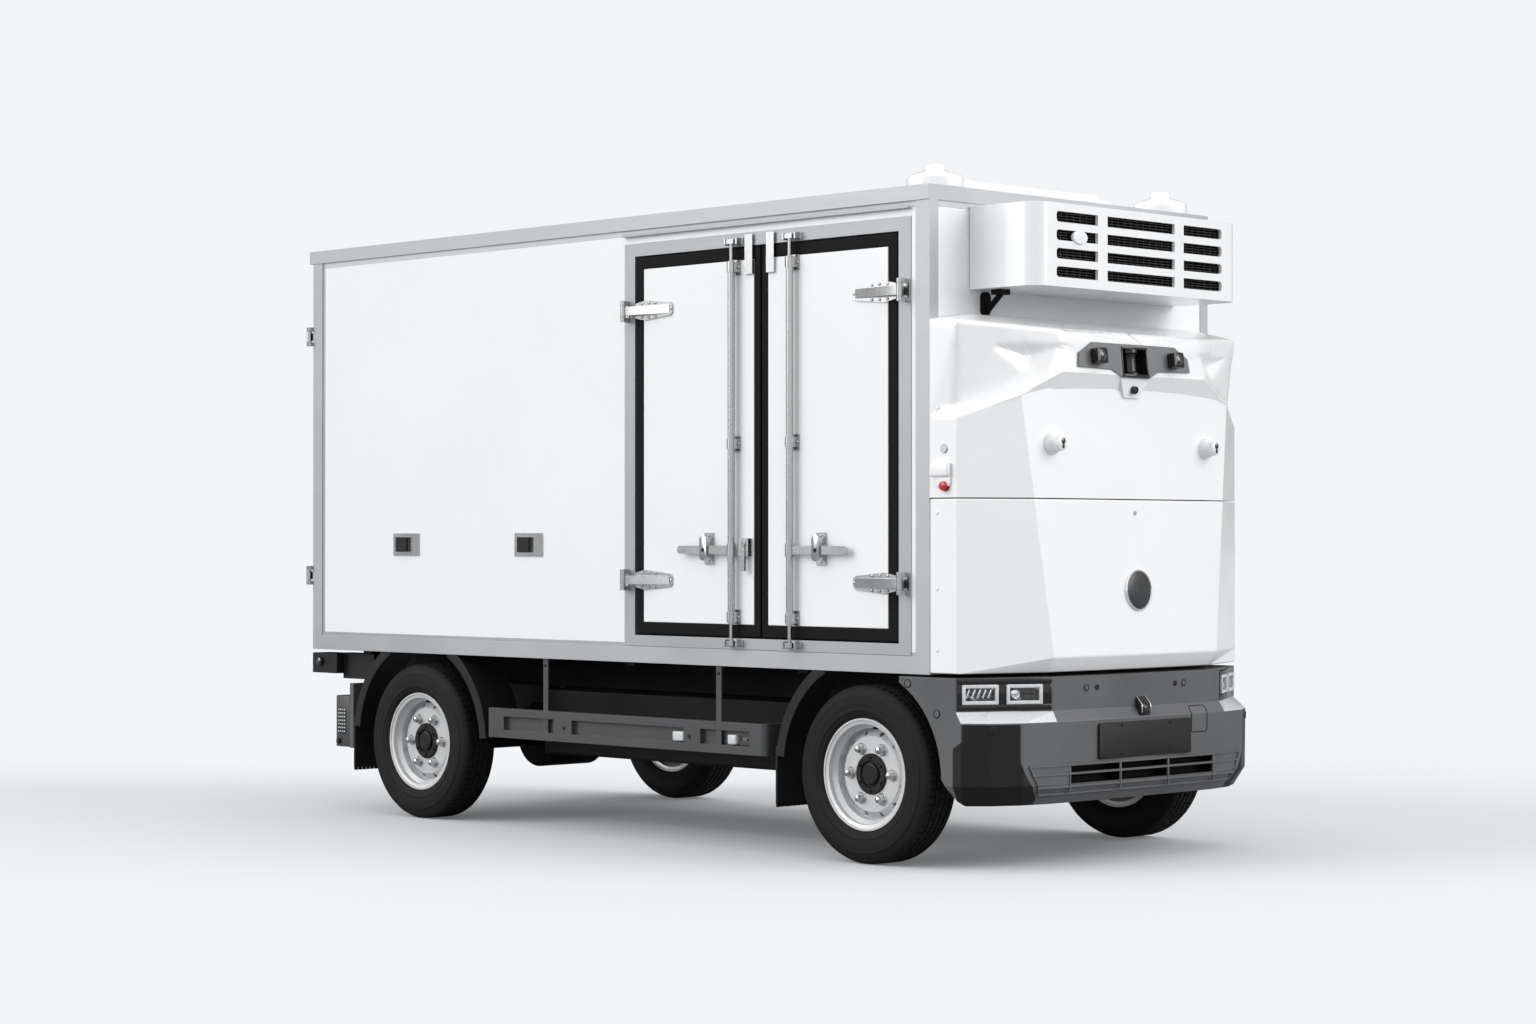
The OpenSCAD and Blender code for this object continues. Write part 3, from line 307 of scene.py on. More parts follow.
def bumper_paint(g):
    """Satin grey paint, with painted shade on the lower corners below the ledges."""
    x, y, z = g.node("SeparateXYZ", {"Vector": g.place}).outputs
    # The painted shade on the lower corner starts at this width, which sweeps inwards near the foot, ends behind
    # and ends above
    sweep = g.math("POWER", g.spread(z, 0.0, 1.0, 0.43, 0.28), 1.5)
    inner = g.math("SUBTRACT", g.math("ABSOLUTE", y), g.math("MULTIPLY_ADD", sweep, -0.098, 0.690))
    behind = g.math("SUBTRACT", x, g.spread(z, 1.945, 1.988, 0.474, 0.500))
    below = g.spread(z, 1.0, 0.0, 0.5645, 0.5665)
    dark = g.math("MULTIPLY", g.spread(inner, 0.0, 1.0, -0.002, 0.002), g.spread(behind, 0.0, 1.0, -0.004, 0.004))
    dark = g.math("MULTIPLY", dark, below)
    clouds = g.noise(3.0, 4.0)
    # Painted shade: the lower corners take the plastic black at four tenths
    paint = g.mix(dark, rgba(colours().dark_grey_paint), rgba(colours().black_plastic, 0.4))
    toned = g.node("VectorMath", {0: paint, "Scale": g.spread(clouds, 0.92, 1.08)}, operation="SCALE").outputs[0]
    g.set(Base_Color=toned, Roughness=g.spread(clouds, 0.32, 0.44),
          Normal=g.bump(g.noise(620.0, 2.0), 0.12, 0.0003), Metallic=0.1, Coat_Weight=0.03, Specular_IOR_Level=0.32)


def studio_floor(g):
    """Pale matt floor with a very faint mottle that throws little light back up."""
    to_camera = g.node("LightPath").outputs["Is Camera Ray"]
    tone, lift = colours().backdrop, sizes().shadow_lift
    seen = g.mix(g.noise(0.7), rgba(tone, 0.997 * (1 - lift)), rgba(tone, 1.003 * (1 - lift)))
    g.set(Base_Color=g.mix(to_camera, rgba(tone, sizes().floor_bounce), seen), Roughness=0.9,
          Specular_IOR_Level=0.0, Emission_Color=rgba(BACKDROP),
          Emission_Strength=g.math("MULTIPLY", to_camera, lift))


SPECIAL = {"clear_lens": clear_lens, "lamp_white": lamp_white, "chrome": chrome, "dark_lens": dark_lens,
           "bumper_paint": bumper_paint, "studio_floor": studio_floor}


# Places

def move(x, y, z):
    return Matrix.Translation((x, y, z))


def spun(degrees, axis):
    return Matrix.Rotation(math.radians(degrees), 4, axis)


OUT = spun(90, "X")
TREES = {}


def aim(point, normal):
    """Place whose local Z runs along a normal."""
    return Matrix.Translation(point) @ Vector(normal).to_track_quat("Z", "Y").to_matrix().to_4x4()


def touch(node, start, toward):
    """Where a ray from start meets a CAD node: point and outward normal."""
    if node not in TREES:
        mesh = frame["nodes"][node].data
        TREES[node] = BVHTree.FromPolygons([v.co for v in mesh.vertices], [p.vertices for p in mesh.polygons])
    toward = Vector(toward)
    point, normal, _, _ = TREES[node].ray_cast(Vector(start), toward)
    if point is None:
        raise RuntimeError(f"nothing of {node} lies ahead of {tuple(start)}")
    return point, normal if normal.dot(toward) < 0 else -normal


def ahead(node, y, z):
    """Where a node is met from the front."""
    return touch(node, (AHEAD_X, y, z), (-1, 0, 0))


def beside(node, side, x, z):
    """Where a node is met from one side."""
    return touch(node, (x, side * BESIDE_Y, z), (0, -side, 0))


def leaf_place(leaf):
    """A leaf's place: local X from its jamb to its free edge, local -Y outward."""
    flip = Matrix.Diagonal((-1, 1, 1, 1)) if leaf.mirrored else Matrix.Identity(4)
    return move(leaf.x, leaf.y, 0) @ flip @ spun(leaf.turn, "Z")


# Shapes

def mesh_of(name, bm):
    """A bmesh written out as a mesh."""
    mesh = bpy.data.meshes.new(name)
    bm.to_mesh(mesh)
    bm.free()
    return mesh


def linked(name, data):
    """A new object in the scene, at the origin."""
    made = bpy.data.objects.new(name, data)
    bpy.context.scene.collection.objects.link(made)
    return made


def piece(name, bm, look, body="van", sharp=SHARP, edge=0.0, segments=2, angle=ROUND):
    """A bmesh as a piece with its finish, riding on a body; its edges are rounded or marked sharp."""
    mesh = mesh_of(name, bm)
    made = linked(name, mesh)
    mesh.materials.append(finish(look))
    mesh.polygons.foreach_set("use_smooth", [True] * len(mesh.polygons))
    if edge:
        bevel = made.modifiers.new("edges", "BEVEL")
        bevel.width, bevel.segments, bevel.profile = edge, segments, 0.5
        bevel.limit_method, bevel.angle_limit = "ANGLE", math.radians(angle)
        bevel.harden_normals = True
    elif sharp:
        mesh.set_sharp_from_angle(angle=math.radians(sharp))
    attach(made, body)
    return made


def cad_copy(node, joined=True):
    """A merged copy of a CAD node, with its flat faces joined or left as triangles."""
    bm = bmesh.new()
    source = frame["nodes"][node].data.copy()
    for layer in ("custom_normal", "sharp_edge", "sharp_face"):
        if layer in source.attributes:
            source.attributes.remove(source.attributes[layer])
    source.materials.clear()
    bm.from_mesh(source)
    bpy.data.meshes.remove(source)
    for face in bm.faces:
        face.material_index = 0
    bmesh.ops.remove_doubles(bm, verts=bm.verts, dist=CAD_MERGE)
    if joined:
        bmesh.ops.dissolve_limit(bm, angle_limit=math.radians(FLAT), use_dissolve_boundaries=False,
                                 verts=bm.verts, edges=bm.edges, delimit=set())
    return bm


def dressed(node, look, edge, segments=2, angle=ROUND):
    """A CAD node's own form with rounded edges and its finish."""
    made = piece(node + "_dressed", cad_copy(node), look, frame["nodes"][node]["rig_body"],
                 edge=edge, segments=segments, angle=angle)
    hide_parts(node)
    return made


def second_look(made, look, chosen):
    """Gives another finish to the faces of a piece that a test on middle and normal chooses."""
    made.data.materials.append(finish(look))
    for face in made.data.polygons:
        if chosen(face.center, face.normal):
            face.material_index = len(made.data.materials) - 1


def repaint(node, look):
    """A CAD node kept as it is, with a better finish."""
    mesh = frame["nodes"][node].data
    mesh.materials.clear()
    mesh.materials.append(finish(look))


def fresh(count):
    """Empty bmeshes."""
    return (bmesh.new() for _ in range(count))


def join(bm, part, place=None):
    """Adds a part to a bmesh, put in its place, with its faces outwards."""
    if place is not None:
        bmesh.ops.transform(part, matrix=place, verts=part.verts)
    bmesh.ops.recalc_face_normals(part, faces=part.faces)
    mesh = mesh_of("part", part)
    bm.from_mesh(mesh)
    bpy.data.meshes.remove(mesh)


def round_off(part, edge, segments):
    """Rounds all edges of a part."""
    if edge:
        bmesh.ops.bevel(part, geom=part.edges[:], offset=edge, offset_type="OFFSET", segments=segments,
                        profile=0.5, affect="EDGES", clamp_overlap=True, material=-1)


def block(bm, corner, other, edge=0.002, segments=2, place=None):
    """A box between two opposite corners with rounded edges."""
    low, high = (Vector(tuple(map(pick, corner, other))) for pick in (min, max))
    part = bmesh.new()
    bmesh.ops.create_cube(part, size=1.0, matrix=Matrix.LocRotScale((low + high) / 2, None, high - low))
    round_off(part, edge, segments)
    join(bm, part, place)


def lathe(profile, steps):
    """A profile of radius and height spun round the local Z axis."""
    part = bmesh.new()
    ring = [part.verts.new((r, 0, h)) for r, h in profile]
    rail = [part.edges.new(pair) for pair in zip(ring, ring[1:])]
    bmesh.ops.spin(part, geom=ring + rail, cent=(0, 0, 0), axis=(0, 0, 1), angle=math.tau, steps=steps,
                   use_merge=True)
    bmesh.ops.remove_doubles(part, verts=part.verts, dist=LATHE_MERGE)
    return part


def turned(bm, profile, place=None, steps=32):
    """A turned part; an end of its profile that is off the axis is closed by a disc."""
    if profile[0] != profile[-1]:
        first, last = ([(0.0, h)] if r > 0 else [] for r, h in (profile[0], profile[-1]))
        profile = (*first, *profile, *last)
    join(bm, lathe(profile, steps), place)


def dome(r, h):
    """Profile of a domed screw or bolt head."""
    return ((r, -0.001), (r, h * 0.35), (r * 0.92, h * 0.6), (r * 0.66, h * 0.88), (0, h))


def button(r, h, lip):
    """Profile of a flat-topped round fitting."""
    return ((r, -0.002), (r, h - lip), (r - lip, h), (0, h))


def plate(bm, outline, low, high, edge=0.0, segments=2, place=None):
    """An outline of X-Y points drawn out along Z, with rounded edges."""
    part = bmesh.new()
    face = part.faces.new([part.verts.new((x, y, low)) for x, y in outline])
    top = bmesh.ops.extrude_face_region(part, geom=[face], use_keep_orig=True)
    bmesh.ops.translate(part, vec=(0, 0, high - low),
                        verts=[v for v in top["geom"] if isinstance(v, bmesh.types.BMVert)])
    bmesh.ops.recalc_face_normals(part, faces=part.faces)
    round_off(part, edge, segments)
    join(bm, part, place)


def rounded(width, height, radius, steps=6):
    """Outline of a rectangle with round corners, about its middle."""
    points = []
    for sx, sy, start in ((1, 1, 0), (-1, 1, 90), (-1, -1, 180), (1, -1, 270)):
        for i in range(steps + 1):
            turn = math.radians(start + 90 * i / steps)
            points.append((sx * (width / 2 - radius) + radius * math.cos(turn),
                           sy * (height / 2 - radius) + radius * math.sin(turn)))
    return points


def ribbon(bm, spots, rises, half, out, sink, closed=False):
    """A strip of rectangular section along spots on a surface, each a point with its normal."""
    part = bmesh.new()
    loops = []
    for (point, normal), rise in zip(spots, rises):
        ring = [part.verts.new(point + rise * half * a + normal * b)
                for a, b in ((1, out), (-1, out), (-1, -sink), (1, -sink))]
        loops.append([part.edges.new((ring[i], ring[(i + 1) % 4])) for i in range(4)])
    for first, second in zip(loops, loops[1:] + (loops[:1] if closed else [])):
        bmesh.ops.bridge_loops(part, edges=first + second)
    if not closed:
        for end in (loops[0], loops[-1]):
            bmesh.ops.contextual_create(part, geom=end)
    join(bm, part)


# Pieces

class VAN_OT_box(bpy.types.Operator):
    """Insulated box: panels, door frames and edge trims"""

    bl_idname = "van.box"
    bl_label = "Insulated box"

    def execute(self, context):
        edge = sizes().panel_edge
        for node, look, width in (
                ("roof_panel", "roof_white", edge * 0.5), ("left_wall", "white_panel", edge * 0.5),
                ("right_wall", "white_panel", edge * 0.5), ("front_wall", "white_panel", edge * 0.5),
                ("cargo_floor", "pale_frame", edge * 0.5), ("rear_portal", "pale_frame", edge),
                ("side_door_frame", "pale_frame", 0.0012), ("edge_trims", "grey_aluminium", 0.0015)):
            dressed(node, look, width)
        return {"FINISHED"}


class VAN_OT_doors(bpy.types.Operator):
    """Door leaves with seals, hinges, lock rods and their screws"""

    bl_idname = "van.doors"
    bl_label = "Doors and lock gear"

    # Pairs of screws along a hinge strap and the one at its tip, from the jamb
    STRAP_SCREWS = ((0.052, 0.029), (0.094, 0.0305), (0.135, 0.0285))
    STRAP_TIP = 0.231
    # Rod guides, handle catch and lock box, above the door's foot
    GUIDE_ZS, CATCH_Z, LOCK_Z = (0.086, 0.790, 1.507), 0.359, 0.384

    def execute(self, context):
        s = sizes()
        for leaf in LEAVES:
            dressed(leaf.name + "_panel", "white_panel", s.panel_edge)
            dressed(leaf.name + "_seal", "black_rubber", s.seal_edge, 3)
            dressed(leaf.name + "_gear", "stainless", s.metal_edge)
            self.fittings(leaf, s.screw_r)
        dressed("hinge_butts", "stainless", s.metal_edge)
        made = dressed("door_catches", "stainless", s.metal_edge)
        second_look(made, "black_plastic", self.is_hold_back)
        bolts = bmesh.new()
        for leaf in LEAVES:
            for z in (DOOR_Z0 - 0.020, DOOR_Z1 + 0.020):
                for side in SIDES:
                    at = leaf_place(leaf) @ move(leaf.width - leaf.rod_inset + side * 0.021, -0.005, z)
                    turned(bolts, dome(0.0055, 0.004), at @ OUT, 12)
        piece("keeper_bolts", bolts, "black_plastic")
        return {"FINISHED"}

    @staticmethod
    def is_hold_back(c, n):
        """The dark catches on the walls that hold an open leaf."""
        return 1.20 < c.z < 1.29 and abs(c.y) > 0.867

    def fittings(self, leaf, r):
        """Screws on straps and guides, catch plates and the key escutcheon."""
        rod = leaf.width - leaf.rod_inset
        hook, catch = rod - 0.155, DOOR_Z0 + self.CATCH_Z
        bright, dark = fresh(2)

        def spot(x, y, z):
            return leaf_place(leaf) @ move(x, y, z) @ OUT

        for z in HINGE_ZS:
            for x, dz in self.STRAP_SCREWS:
                for side in SIDES:
                    turned(bright, dome(r, 0.005), spot(x, -0.006, z + side * dz), 14)
            turned(bright, dome(r, 0.004), spot(self.STRAP_TIP, -0.006, z), 14)
        for z in self.GUIDE_ZS:
            for side in SIDES:
                turned(bright, dome(r, 0.005), spot(rod + side * 0.0235, -0.005, DOOR_Z0 + z), 14)
        for z in (catch - 0.048, catch + 0.058):
            turned(bright, dome(r * 0.9, 0.005), spot(hook, -0.005, z), 14)
        plate(bright, rounded(0.040, 0.104, 0.0195), 0.0, 0.0075, 0.0025, place=spot(hook, -0.0335, catch + 0.008))
        turned(dark, button(0.0085, 0.0030, 0.001), spot(hook, -0.0405, catch), 18)
        if leaf.lock_box:
            at = spot(leaf.width - 0.078, -0.024, DOOR_Z0 + self.LOCK_Z)
            turned(bright, button(0.014, 0.006, 0.002), at, 24)
            block(dark, (-0.0016, -0.0065, 0.004), (0.0016, 0.0065, 0.0068), 0.0005, place=at)
        piece(leaf.name + "_screws", bright, "stainless", leaf.name + "_door")
        piece(leaf.name + "_dark_fittings", dark, "black_plastic", leaf.name + "_door")


class VAN_OT_nose(bpy.types.Operator):
    """Nose shells with rivets, locks and the bare badge disc"""

    bl_idname = "van.nose"
    bl_label = "Nose shells"

    RIVET_X = 1.866
    RIVETS = ((1.769, "nose_upper"), (1.370, "nose_lower"), (1.079, "nose_lower"), (0.845, "nose_lower"))
    BADGE_Z = 1.068
    # A point in the shell's hollow, and the height above which every face counts as outer
    MIDDLE, HOLLOW_TOP = Vector((1.90, 0.0, 1.66)), 1.72
    # Distance from the middle and height from which the mesh is split, and from which it is evened
    SPLIT_ZONE, EVEN_ZONE = (0.352, 2.035), (0.365, 2.05)
    SPLITS, BACK_X, FOOT = 6, 1.842, 0.012
    # Middle line of the lobe: height at the flank, rise towards the middle, and where its lower side starts
    LOBE_Z, LOBE_RISE, LOBE_Y = 1.757, 0.38, 0.66
    # Rounds of evening everywhere, and more of them below the brow
    EVENING, SCOOP_EVENING, BROW_Z = 3, 12, 2.012
    CREASE = math.radians(8)

    def execute(self, context):
        s = sizes()
        dressed("nose_lower", "white_moulding", s.nose_edge, 4, 9)
        self.upper_shell(s.nose_edge)
        rivets, locks, disc, ring = fresh(4)
        for side in SIDES:
            for z, node in self.RIVETS:
                turned(rivets, dome(s.rivet_r, 0.004), aim(*beside(node, side, self.RIVET_X, z)), 16)
            turned(locks, button(0.017, 0.006, 0.002), aim(*beside("nose_upper", side, 1.903, 1.613)), 24)
        turned(locks, button(0.009, 0.003, 0.001), aim(*ahead("nose_lower", 0.0, 1.372)), 20)
        piece("nose_rivets", rivets, "white_moulding")
        piece("nose_locks", locks, "stainless")
        point, normal = ahead("nose_lower", 0.02, self.BADGE_Z)
        spot = aim((point.x - 0.0005, 0, self.BADGE_Z), normal)
        r = s.badge_r
        turned(disc, ((r - 0.004, -0.003), (r - 0.004, 0.006), (r - 0.010, 0.0075), (0, 0.0085)), spot, 64)
        turned(ring, ((r, -0.003), (r, 0.006), (r - 0.002, 0.0085), (r - 0.006, 0.0085), (r - 0.008, 0.006),
                      (r - 0.008, -0.003), (r, -0.003)), spot, 64)
        piece("badge_disc", disc, "badge_dark")
        piece("badge_ring", ring, "chrome")
        return {"FINISHED"}

    def near(self, v, zone):
        """Whether a point is on the outside, and beside or above the plain front."""
        outer = v.co.z > self.HOLLOW_TOP or v.normal.dot(v.co - self.MIDDLE) > 0
        return outer and (abs(v.co.y) > zone[0] or v.co.z > zone[1])

    def upper_shell(self, step):
        """The upper shell's own form with its corners, scoops and lobes evened into soft curves."""
        bm = cad_copy("nose_upper", joined=False)
        foot = min(v.co.z for v in bm.verts) + self.FOOT
        for _ in range(self.SPLITS):
            bm.normal_update()
            long = [e for e in bm.edges
                    if e.calc_length() > step and all(self.near(v, self.SPLIT_ZONE) for v in e.verts)]
            bmesh.ops.subdivide_edges(bm, edges=long, cuts=1)
            bmesh.ops.triangulate(bm, faces=[f for f in bm.faces if len(f.verts) > 3])
            bmesh.ops.dissolve_degenerate(bm, dist=SLIVER, edges=bm.edges)
        bm.normal_update()
        chosen, hollow = [], []
        for v in bm.verts:
            y, z = abs(v.co.y), v.co.z
            above = z > self.LOBE_Z + self.LOBE_RISE * (BOX_Y - y)
            if self.near(v, self.EVEN_ZONE) and v.co.x > self.BACK_X and z > foot and (above or y > self.LOBE_Y):
                chosen.append(v)
                if above and z < self.BROW_Z:
                    hollow.append(v)
        for rounds, verts in ((self.EVENING, chosen), (self.SCOOP_EVENING, hollow)):
            for _ in range(rounds):
                bmesh.ops.smooth_vert(bm, verts=verts, factor=0.5, use_axis_x=True, use_axis_y=True,
                                      use_axis_z=True)
        kept = set(chosen)
        for e in bm.edges:
            e.smooth = e.calc_face_angle(0.0) < self.CREASE or all(v in kept for v in e.verts)
        made = piece("nose_upper_dressed", bm, "white_moulding", sharp=0)
        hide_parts("nose_upper")


class VAN_OT_sensors(bpy.types.Operator):
    """Front sensors: plate, ranging drum, cameras, pods and stop buttons"""

    bl_idname = "van.sensors"
    bl_label = "Front sensors"

    DRUM = ((0.0, 0.0), (0.040, 0.0), (0.040, 0.016), (0.033, 0.022), (0.031, 0.028), (0.031, 0.088),
            (0.033, 0.094), (0.040, 0.098), (0.040, 0.118), (0.0, 0.118))
    # Frame round the drum: two uprights, top and foot
    DRUM_FRAME = (((-0.05, -0.0795, -0.006), (0.007, -0.073, 0.111)),
                  ((-0.05, 0.073, -0.006), (0.007, 0.0795, 0.111)),
                  ((-0.05, -0.0795, 0.104), (0.010, 0.0795, 0.1115)),
                  ((-0.05, -0.0795, -0.006), (0.012, 0.0795, 0.004)))
    PLATE_LENS = ((0.021, 0.034), (0.021, 0.0365), (0.018, 0.0372), (0.016, 0.036), (0.010, 0.039), (0, 0.040))
    CHIN_CAMERA = ((0.016, -0.004), (0.016, 0.014), (0.012, 0.018), (0.010, 0.012), (0, 0.012))
    CHIN_LENS = ((0.0105, 0.010), (0.008, 0.014), (0, 0.016))
    POD = ((0.030, 0.0), (0.030, 0.052), (0.0285, 0.057), (0.025, 0.060), (0.0, 0.0605))
    POD_LENS = ((0.012, -0.002), (0.012, 0.0015), (0.008, 0.0035), (0, 0.004))
    STOP = ((0.018, 0.006), (0.018, 0.014), (0.0165, 0.018), (0.011, 0.0205), (0, 0.0215))
    # Wedge camera's outline and the two straight parts of its rim, as X and Z
    WEDGE = ((2.150, 0.652), (2.158, 0.651), (2.187, 0.619), (2.188, 0.588), (2.182, 0.576), (2.150, 0.574))
    WEDGE_RIMS = (((2.159, 0.6515), (2.1615, 0.6515), (2.189, 0.621), (2.1865, 0.620)),
                  ((2.186, 0.620), (2.1895, 0.620), (2.1895, 0.588), (2.186, 0.588)))

    def execute(self, context):
        dressed("sensor_plate", "sensor_grey", 0.0015)
        head = move(HEAD_X, 0, HEAD_Z) @ Matrix.Rotation(-HEAD_LEAN, 4, "Y")
        drum, lens, bodies, pods, red = fresh(5)
        turned(drum, self.DRUM, head @ move(-0.030, 0, -0.006), 40)
        block(bodies, (-0.060, -0.079, -0.006), (-0.052, 0.079, 0.111), 0.001, place=head)
        for low, high in self.DRUM_FRAME:
            block(bodies, low, high, 0.0015, place=head)
        for side in SIDES:
            at = head @ move(0.005, side * 0.239, 0.067) @ spun(90, "Y")
            plate(bodies, rounded(0.062, 0.062, 0.011), -0.001, 0.036, 0.004, 3, place=at)
            turned(lens, self.PLATE_LENS, at, 32)
        at = aim(*ahead("nose_upper", 0.0, 1.858))
        turned(bodies, self.CHIN_CAMERA, at, 28)
        turned(lens, self.CHIN_LENS, at, 24)
        for side in SIDES:
            self.pod(pods, lens, side)
            self.stop(pods, bodies, red, side)
        self.wedge(bodies, lens)
        made = piece("ranging_drum", drum, "gloss_black")
        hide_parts("sensor_units")
        piece("sensor_bodies", bodies, "gloss_black")
        piece("sensor_lenses", lens, "dark_lens")
        piece("corner_pods", pods, "white_moulding", sharp=50)
        piece("stop_buttons", red, "stop_red")
        return {"FINISHED"}

    def pod(self, pods, lens, side):
        """White teardrop housing with a dark keyhole window."""
        at = aim((2.108, side * 0.479, 1.637), (1, 0, 0))
        part = bmesh.new()
        bmesh.ops.create_uvsphere(part, u_segments=32, v_segments=18, radius=0.044)
        join(pods, part, at)
        turned(pods, self.POD, at, 32)
        turned(lens, self.POD_LENS, at @ move(0, 0.009, 0.0595), 22)
        plate(lens, rounded(0.014, 0.034, 0.006), -0.002, 0.0015, 0.0005, place=at @ move(0, -0.004, 0.0595))

    def stop(self, pods, bodies, red, side):
        """Stop button below its hooded white housing."""
        y, out = side * BOX_Y, (0, side, 0)
        block(pods, (1.842, y, 1.506), (1.940, y + side * 0.024, 1.562), 0.010, 4)
        plate(pods, rounded(0.086, 0.050, 0.020), 0.0, 0.010, 0.003, place=aim((1.897, y, 1.492), out))
        block(bodies, (1.8345, y, 1.526), (1.8415, y + side * 0.012, 1.556), 0.002)
        at = aim((1.909, y + side * 0.002, 1.471), out)
        turned(bodies, button(0.0205, 0.009, 0.003), at, 28)
        turned(red, self.STOP, at, 28)

    def wedge(self, bodies, lens):
        """Wedge camera over the plate, with a bright rim."""
        plate(bodies, self.WEDGE, -0.031, 0.031, 0.004, place=OUT)
        rim = bmesh.new()
        for side in SIDES:
            for outline in self.WEDGE_RIMS:
                plate(rim, outline, side * 0.027 - 0.002, side * 0.027 + 0.002, 0.0005, place=OUT)
        piece("wedge_rims", rim, "chrome")
        block(lens, (2.180, -0.012, 0.594), (2.1892, 0.012, 0.614), 0.002)


class VAN_OT_bumper(bpy.types.Operator):
    """Bumper with grille bars, bare plate and sensors"""

    bl_idname = "van.bumper"
    bl_label = "Bumper"

    # Grille bars: height, reach to each side, half thickness; then the uprights between them
    BARS = ((0.371, 0.640, 0.004), (0.325, 0.612, 0.004), (0.404, 0.652, 0.003), (0.297, 0.592, 0.003))
    UPRIGHTS = (-0.448, -0.149, 0.149, 0.448)
    GRILLE_Z, GRILLE_TOP, GRILLE_Y, GRILLE_TOP_Y = 0.297, 0.404, 0.592, 0.652
    BAR_OUT, BAR_SINK, BAR_STEPS, END_STEPS = 0.006, 0.004, 28, 6
    # Round fittings at one height on the front: place across, radius, whether a sensor sits in it
    ROUND_Z = 0.695
    ROUNDS = ((-0.324, 0.014, False), (-0.262, 0.011, True), (0.225, 0.011, True), (0.280, 0.014, False))
    FENDER_PLUGS = ((1.713, 0.714), (1.864, 0.603))
    CORNER_Y, CORNER_Z = 0.790, 0.543
    COVER_Y, COVER_Z, COVER_STEP = 0.352, 0.549, 0.008
    PLATE_W, PLATE_H, PLATE_Z, PLATE_BOLTS = 0.572, 0.139, 0.4875, (0.150, 0.055)
    CREASE = math.radians(12)

    def execute(self, context):
        made = self.form()
        # Painted shade: the grille's blind depth is painted black
        second_look(made, "black_rubber", self.is_depth)
        # Painted highlight: the ledge's upward faces on the corner facets take the lamp white
        second_look(made, "lamp_white", self.is_light_bar)
        self.grille()
        self.fittings()
        return {"FINISHED"}

    def form(self):
        """The bumper's own form, with its creases rounded but for the grille's openings."""
        bm = cad_copy("bumper", joined=False)
        weight = bm.edges.layers.float.new("bevel_weight_edge")
        for e in bm.edges:
            c = (e.verts[0].co + e.verts[1].co) / 2
            crease = e.calc_face_angle(0.0) > self.CREASE
            opening = 0.30 < c.z < 0.41 and abs(c.y) < 0.46 and c.x > 2.1
            e[weight] = 1.0 if crease and not opening else 0.0
            e.smooth = not (crease and opening)
        # The bumper's material is grey paint with painted shade on its lower corners
        made = piece("bumper_dressed", bm, "bumper_paint", edge=0.005, segments=3)
        made.modifiers["edges"].limit_method = "WEIGHT"
        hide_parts("bumper")
        return made

    @staticmethod
    def is_depth(c, n):
        """The depth of the grille's openings, painted black as painted shade."""
        back = n.x > 0.5 and c.x < 2.125
        return 0.31 < c.z < 0.41 and abs(c.y) < 0.45 and 2.110 < c.x < 2.168 and (back or abs(n.x) < 0.5)

    @staticmethod
    def is_light_bar(c, n):
        """The upward faces of the ledge below the headlamps on the corner facets, painted milky lamp white as a
        painted highlight where a bright reflection lies.
        """
        return 0.575 < c.z < 0.608 and 0.53 < abs(c.y) < 0.862 and c.x > 1.96 and n.z > 0.2

    def grille(self):
        """Long bars that follow the bumper, uprights and the slanting ends."""
        bm = bmesh.new()
        for z, reach, half in self.BARS:
            spots = [ahead("bumper", -reach + 2 * reach * i / self.BAR_STEPS, z) for i in range(self.BAR_STEPS + 1)]
            ribbon(bm, spots, [Vector((0, 0, 1))] * len(spots), half, self.BAR_OUT, self.BAR_SINK)
        low, high, half = self.GRILLE_Z, self.GRILLE_TOP, 0.004
        for y in self.UPRIGHTS:
            x = max(ahead("bumper", y, z)[0].x for z in (low, (low + high) / 2, high))
            block(bm, (x - 0.004, y - half, low), (x + 0.003, y + half, high), 0.001)
        for side in SIDES:
            spots = []
            for i in range(self.END_STEPS + 1):
                up = i / self.END_STEPS
                across = self.GRILLE_Y + (self.GRILLE_TOP_Y - self.GRILLE_Y) * up
                spots.append(ahead("bumper", side * across, low + (high - low) * up))
            rise = Vector((0, -side, 0.5)).normalized()
            ribbon(bm, spots, [rise] * len(spots), 0.003, self.BAR_OUT, self.BAR_SINK)
        piece("grille_bars", bm, "dark_grey_paint", sharp=30)

    def fittings(self):
        """Round sensors and plugs, tow cover and the bare plate."""
        rings, plugs, eyes, cover, bare, bolts = fresh(6)

        def fitting(spot, r, centre):
            at = aim(*spot)
            turned(rings, ((r, -0.002), (r, 0.002), (r - 0.0015, 0.003), (r - 0.0035, 0.003), (r - 0.0035, -0.002),
                           (r, -0.002)), at, 28)
            turned(centre, button(r - 0.0036, 0.0022, 0.001), at, 28)

        for y, r, sensor in self.ROUNDS:
            fitting(ahead("bumper", y, self.ROUND_Z), r, eyes if sensor else plugs)
        for side in SIDES:
            fitting(ahead("bumper", side * self.CORNER_Y, self.CORNER_Z), 0.015, eyes)
            for x, z in self.FENDER_PLUGS:
                fitting(beside("bumper", side, x, z), 0.017, plugs)
        self.cover_line(cover)
        point, _ = ahead("bumper", 0.0, 0.490)
        at = move(point.x - 0.006, 0, self.PLATE_Z) @ spun(90, "Z") @ OUT
        plate(bare, rounded(self.PLATE_W, self.PLATE_H, 0.010), 0.0, 0.010, 0.003, place=at)
        across, up = self.PLATE_BOLTS
        for y in (-across, across):
            for z in (-up, up):
                turned(bolts, dome(0.005, 0.002), at @ move(y, z, 0.010), 12)
        piece("bumper_rings", rings, "black_plastic")
        piece("bumper_plugs", plugs, "dark_grey_paint")
        piece("bumper_sensors", eyes, "gloss_black")
        piece("tow_cover_line", cover, "black_plastic")
        piece("bare_plate", bare, "black_plastic")
        piece("plate_bolts", bolts, "chassis_black")

